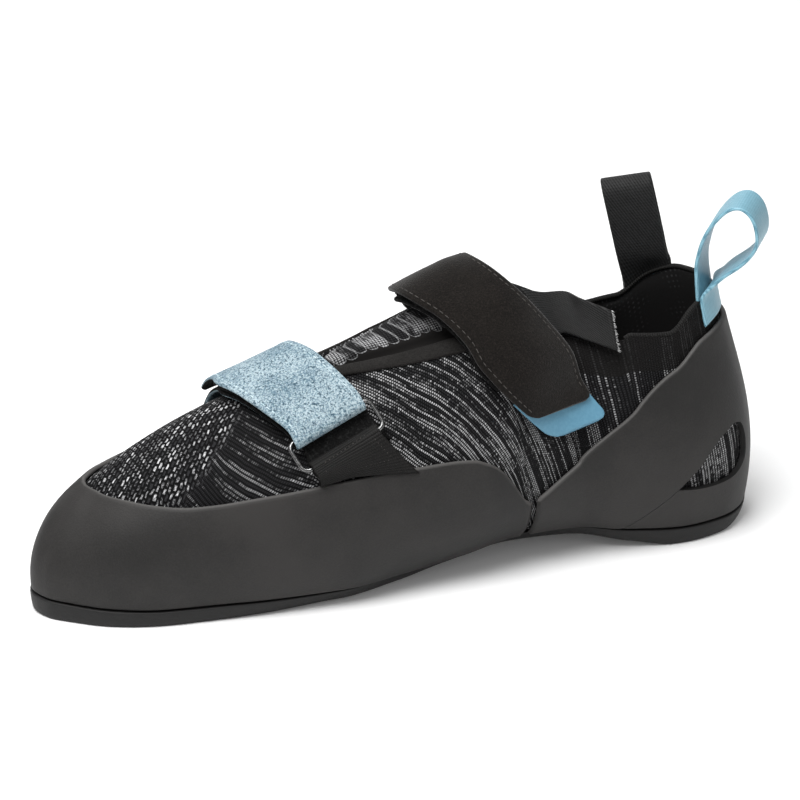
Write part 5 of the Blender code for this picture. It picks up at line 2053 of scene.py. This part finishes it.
@dataclass
class Tabs:
    """Blue tab under the rear strap's free end, and the webbing tab over the collar."""

    tab_thickness: float = 0.0012
    webbing: float = 0.0012
    binding: float = 0.0012
    loop_height: float = 0.0440
    tab_radius: float = 0.0046
    thread_radius: float = 0.00009
    rows: tuple[Rail, ...] = (Rail(9.62, 1.436, 11.24, 1.308, 0, 0), Rail(10.12, 1.492, 11.44, 1.350, 0, 0),
                              Rail(10.56, 1.558, 11.64, 1.395, 0, 0))
    webbing_rows: tuple[tuple[float, ...], ...] = (
        (10.98, 1.200, 10.45, 1.055, 0.00, 1.0), (11.14, 1.169, 10.85, 1.035, 0.00, 1.1),
        (11.39, 1.131, 11.28, 1.000, 0.04, 1.3), (11.61, 1.098, 11.50, 1.000, 0.10, 1.5),
        (11.87, 1.078, 11.88, 1.000, 0.17, 1.8))

    def build(self, finishes: Wardrobe) -> None:
        """Builds and dresses both tabs.

        Args:
            finishes: the shoe's finishes.
        """
        lift = 2 * SEAM_GAP + self.tab_thickness / 2
        grid = path_through(np.array([REAR.row(rail, (lift, lift + 2 * SEAM_GAP)) for rail in self.rows]), 14)
        grid = REAR.round_tip(grid[::-1], self.tab_radius)
        Ribbon("rear_tab_plastic", grid, self.tab_thickness, finishes.tab).build(
            "blue_tab", ("rear_strap_tab",))
        lift = 2 * SEAM_GAP + self.binding + self.webbing / 2
        low = [FORM.girth_point(r[0], r[1], lift * r[5]) for r in self.webbing_rows]
        low = path_through(np.array(low), 12)
        high = path_through(np.array([FORM.girth_point(r[2], r[3], lift * r[5])
                                      + np.array([0, 0, r[4] * self.loop_height])
                                      for r in self.webbing_rows]), 12)
        share = np.array([0, 0.02, 0.05, *np.linspace(0.1, 0.9, 12), 0.95, 0.98, 1.0])
        grid = low[:, None] + (high - low)[:, None] * share[:, None]
        Ribbon("tongue_tab_webbing", grid, self.webbing, finishes.twill).build(
            "black_webbing", ("tongue_tab",))
        self.frayed_end(grid, finishes)

    def frayed_end(self, grid: Array, finishes: Wardrobe) -> None:
        """Loose thread ends along the webbing tab's cut end.

        Args:
            grid: the webbing's points, the cut end last.
            finishes: the shoe's finishes.
        """
        rng = np.random.default_rng(7)
        end, before = grid[-1], grid[-4]
        lines = []
        for share in np.linspace(0.02, 0.98, 46):
            column = share * (len(end) - 1)
            at = np.array([np.interp(column, np.arange(len(end)), end[:, k]) for k in range(3)])
            back = np.array([np.interp(column, np.arange(len(end)), before[:, k]) for k in range(3)])
            along = unit(at - back)
            reach = rng.uniform(0.0004, 0.0011)
            lean = rng.normal(0, 0.25, 3)
            lines.append((at - 0.0003 * along, at + reach * unit(along + lean)))
        add_threads("tongue_tab_fray", lines, self.thread_radius, finishes.pale_thread_and_glints)


def add_threads(name: str, lines: list[tuple[Array, Array]], radius: float,
                material: Material) -> None:
    """Straight short threads, each between two points, as one mesh.

    Args:
        name: the piece's name.
        lines: pairs of end points.
        radius: of a thread.
        material: its finish.
    """
    verts, faces = [], []
    turns = np.linspace(0, 2 * math.pi, 4, endpoint=False)
    for start, end in lines:
        along = unit(np.array(end) - np.array(start))
        side = unit(np.cross(along, np.array([0.3, 0.2, 0.9])))
        other = np.cross(along, side)
        first = len(verts)
        for hub in (start, end):
            for turn in turns:
                verts.append(np.array(hub) + radius * (math.cos(turn) * side + math.sin(turn) * other))
        for k in range(4):
            after = (k + 1) % 4
            faces.append((first + k, first + after, first + 4 + after, first + 4 + k))
        faces.append(tuple(first + k for k in (3, 2, 1, 0)))
        faces.append(tuple(first + 4 + k for k in range(4)))
    mesh = bpy.data.meshes.new(name)
    mesh.from_pydata(np.array(verts) + TO_WORLD, [], faces)
    finish_piece(make_object(name, mesh, [material]))


@dataclass
class PullLoop:
    """Webbing loop straddling the collar: one leg sewn into the edge, one outside above the rubber."""

    name: str
    place: float
    rows: tuple[tuple[float, float], ...]
    lean: float
    width: float = 0.0180
    thickness: float = 0.0013
    height: float = 0.0440
    slope: float = 0.35
    sewn_leg: float = 0.975
    outer_leg: tuple[float, float] = (0.945, 0.895)
    inner_rise: float = 0.0012
    outer_rise: float = 0.0020
    columns: Array = field(default_factory=lambda: np.array(
        [0.0, 0.012, 0.035, *np.linspace(0.08, 0.92, 14), 0.965, 0.988, 1.0]))

    def wall_row(self, height: float, offset: float) -> Array:
        """Points across the webbing laid round the wall at one height.

        Args:
            height: height share.
            offset: distance outward from the wall's face.

        Returns:
            The points.
        """
        ahead, behind = FORM.point(self.place + 0.1, height), FORM.point(self.place - 0.1, height)
        reach = np.linalg.norm(ahead - behind) / 0.2
        across = self.place + (self.columns - 0.5) * self.width / reach
        return FORM.point(across, height) + offset * FORM.normal(across, height)

    def build(self, material: Material, slot: str) -> None:
        """Builds and dresses the loop.

        Args:
            material: its finish.
            slot: material slot of the record.
        """
        edge = FORM.point(self.place, 1.0)
        out = FORM.outward(self.place)
        ahead = FORM.point(self.place + 0.1, 1.0) - FORM.point(self.place - 0.1, 1.0)
        side = unit(ahead * np.array([1.0, 1.0, self.slope]))
        up = np.array([0.0, 0.0, 1.0]) + self.lean * side
        outside = SEAM_GAP + self.thickness / 2
        grid = [self.wall_row(self.sewn_leg, -WALL / 2), self.wall_row(1.0, -WALL / 2) + self.inner_rise * up]
        for away, rise in self.rows:
            centre = edge + self.height * (away * out + rise * up)
            grid.append(centre[None] + side * self.width * (self.columns[:, None] - 0.5))
        grid.append(self.wall_row(1.0, outside) + self.outer_rise * up)
        grid += [self.wall_row(share, outside) for share in self.outer_leg]
        fine = path_through(np.array(grid), 8)
        Ribbon(self.name + "_webbing", fine, self.thickness, material).build(slot, (self.name,))


MEDIAL_LOOP = PullLoop("pull_loop_medial", -14.90, (
    (-0.070, 0.160), (-0.070, 0.310), (-0.010, 0.530), (0.121, 0.720), (0.242, 0.780), (0.343, 0.720),
    (0.395, 0.585), (0.385, 0.455), (0.290, 0.320), (0.150, 0.200), (0.075, 0.120)), 0.0)
LATERAL_LOOP = PullLoop("pull_loop_lateral", 14.00, (
    (-0.070, 0.180), (-0.065, 0.385), (-0.055, 0.598), (-0.040, 0.748), (0.005, 0.817), (0.055, 0.832),
    (0.105, 0.802), (0.135, 0.704), (0.138, 0.500), (0.115, 0.305), (0.075, 0.140)), -0.24)


# Studio


class Lamp(NamedTuple):
    """Soft square light: its place and side in metres, its power in watts."""

    name: str
    place: tuple[float, float, float]
    size: float
    power: float


LAMPS = (
    Lamp("key", (0.40, 0.25, 1.00), 0.6, 12.5),
    Lamp("front", (-0.25, 1.1, 0.70), 0.9, 0.8),
    Lamp("rear", (0.1, -0.7, 0.9), 0.8, 4.0),
)


@dataclass
class Studio:
    """White floor, soft lights and the camera at the photograph's angle."""

    azimuth: float = 18.0
    elevation: float = 24.0
    distance: float = 1.1
    lens: float = 140.6
    sensor: float = 36.0
    world_strength: float = 0.42
    floor_glow: float = 0.05
    floor_reach: float = 3.0
    aim: tuple[float, float, float] = (0.08, 0.0, 0.04)
    target: tuple[float, float, float] = (0.0898, -0.0138, 0.050)

    def build(self) -> None:
        """Makes the floor, the lights, the world and the camera."""
        floor_mesh = bpy.data.meshes.new("floor")
        reach = self.floor_reach
        floor_mesh.from_pydata([(-reach, -reach, 0), (reach, -reach, 0), (reach, reach, 0),
                                (-reach, reach, 0)], [], [(0, 1, 2, 3)])
        g = Graph("floor_white")
        g.dress((0.93, 0.93, 0.93, 1), 0.9, Specular_IOR_Level=0.1, Emission_Color=(1.0, 1.0, 1.0, 1),
                Emission_Strength=self.floor_glow)
        floor = make_object("floor", floor_mesh, [g.material])
        floor.location.z = -0.00005
        floor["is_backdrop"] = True
        world = bpy.data.worlds.new("studio")
        bpy.context.scene.world = world
        world.use_nodes = True
        back = world.node_tree.nodes["Background"]
        back.inputs["Color"].default_value = (1.0, 1.0, 1.0, 1)
        back.inputs["Strength"].default_value = self.world_strength
        for lamp in LAMPS:
            data = bpy.data.lights.new(lamp.name, "AREA")
            data.size, data.energy = lamp.size, lamp.power
            made = bpy.data.objects.new(lamp.name, data)
            made.location = lamp.place
            aim = Vector(self.aim) - Vector(lamp.place)
            made.rotation_mode = "QUATERNION"
            made.rotation_quaternion = aim.to_track_quat("-Z", "Y")
            bpy.context.scene.collection.objects.link(made)
        a, e = math.radians(self.azimuth), math.radians(self.elevation)
        away = Vector((math.sin(a) * math.cos(e), math.cos(a) * math.cos(e), math.sin(e)))
        data = bpy.data.cameras.new("camera")
        data.lens, data.sensor_width = self.lens, self.sensor
        data.clip_start, data.clip_end = 0.05, 20.0
        camera = bpy.data.objects.new("camera", data)
        camera.location = Vector(self.target) + away * self.distance
        camera.rotation_mode = "QUATERNION"
        camera.rotation_quaternion = (-away).to_track_quat("-Z", "Y")
        bpy.context.scene.collection.objects.link(camera)
        bpy.context.scene.camera = camera
        bpy.context.scene.view_settings.view_transform = "Standard"


def main() -> None:
    """Builds the shoe piece by piece."""
    logging.basicConfig(level=logging.INFO, format="%(message)s")
    finishes = Wardrobe()
    Studio().build()
    Sole().build(finishes)
    Upper().build(finishes)
    Collar().build(finishes)
    Tongue().build(finishes)
    Bindings().build(finishes)
    Rands().build(finishes)
    FRONT.build(finishes.blue_felt, finishes.blue_thread, "blue_suede", finishes)
    REAR.build(finishes.black_suede, finishes.dark_thread, "black_suede", finishes)
    Tabs().build(finishes)
    MEDIAL_LOOP.build(finishes.satin, "blue_webbing")
    LATERAL_LOOP.build(finishes.twill, "black_webbing")
    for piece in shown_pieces():
        LOG.info("%s: %d faces", piece.name, len(getattr(piece.data, "polygons", ())))


if __name__ == "__main__":
    main()
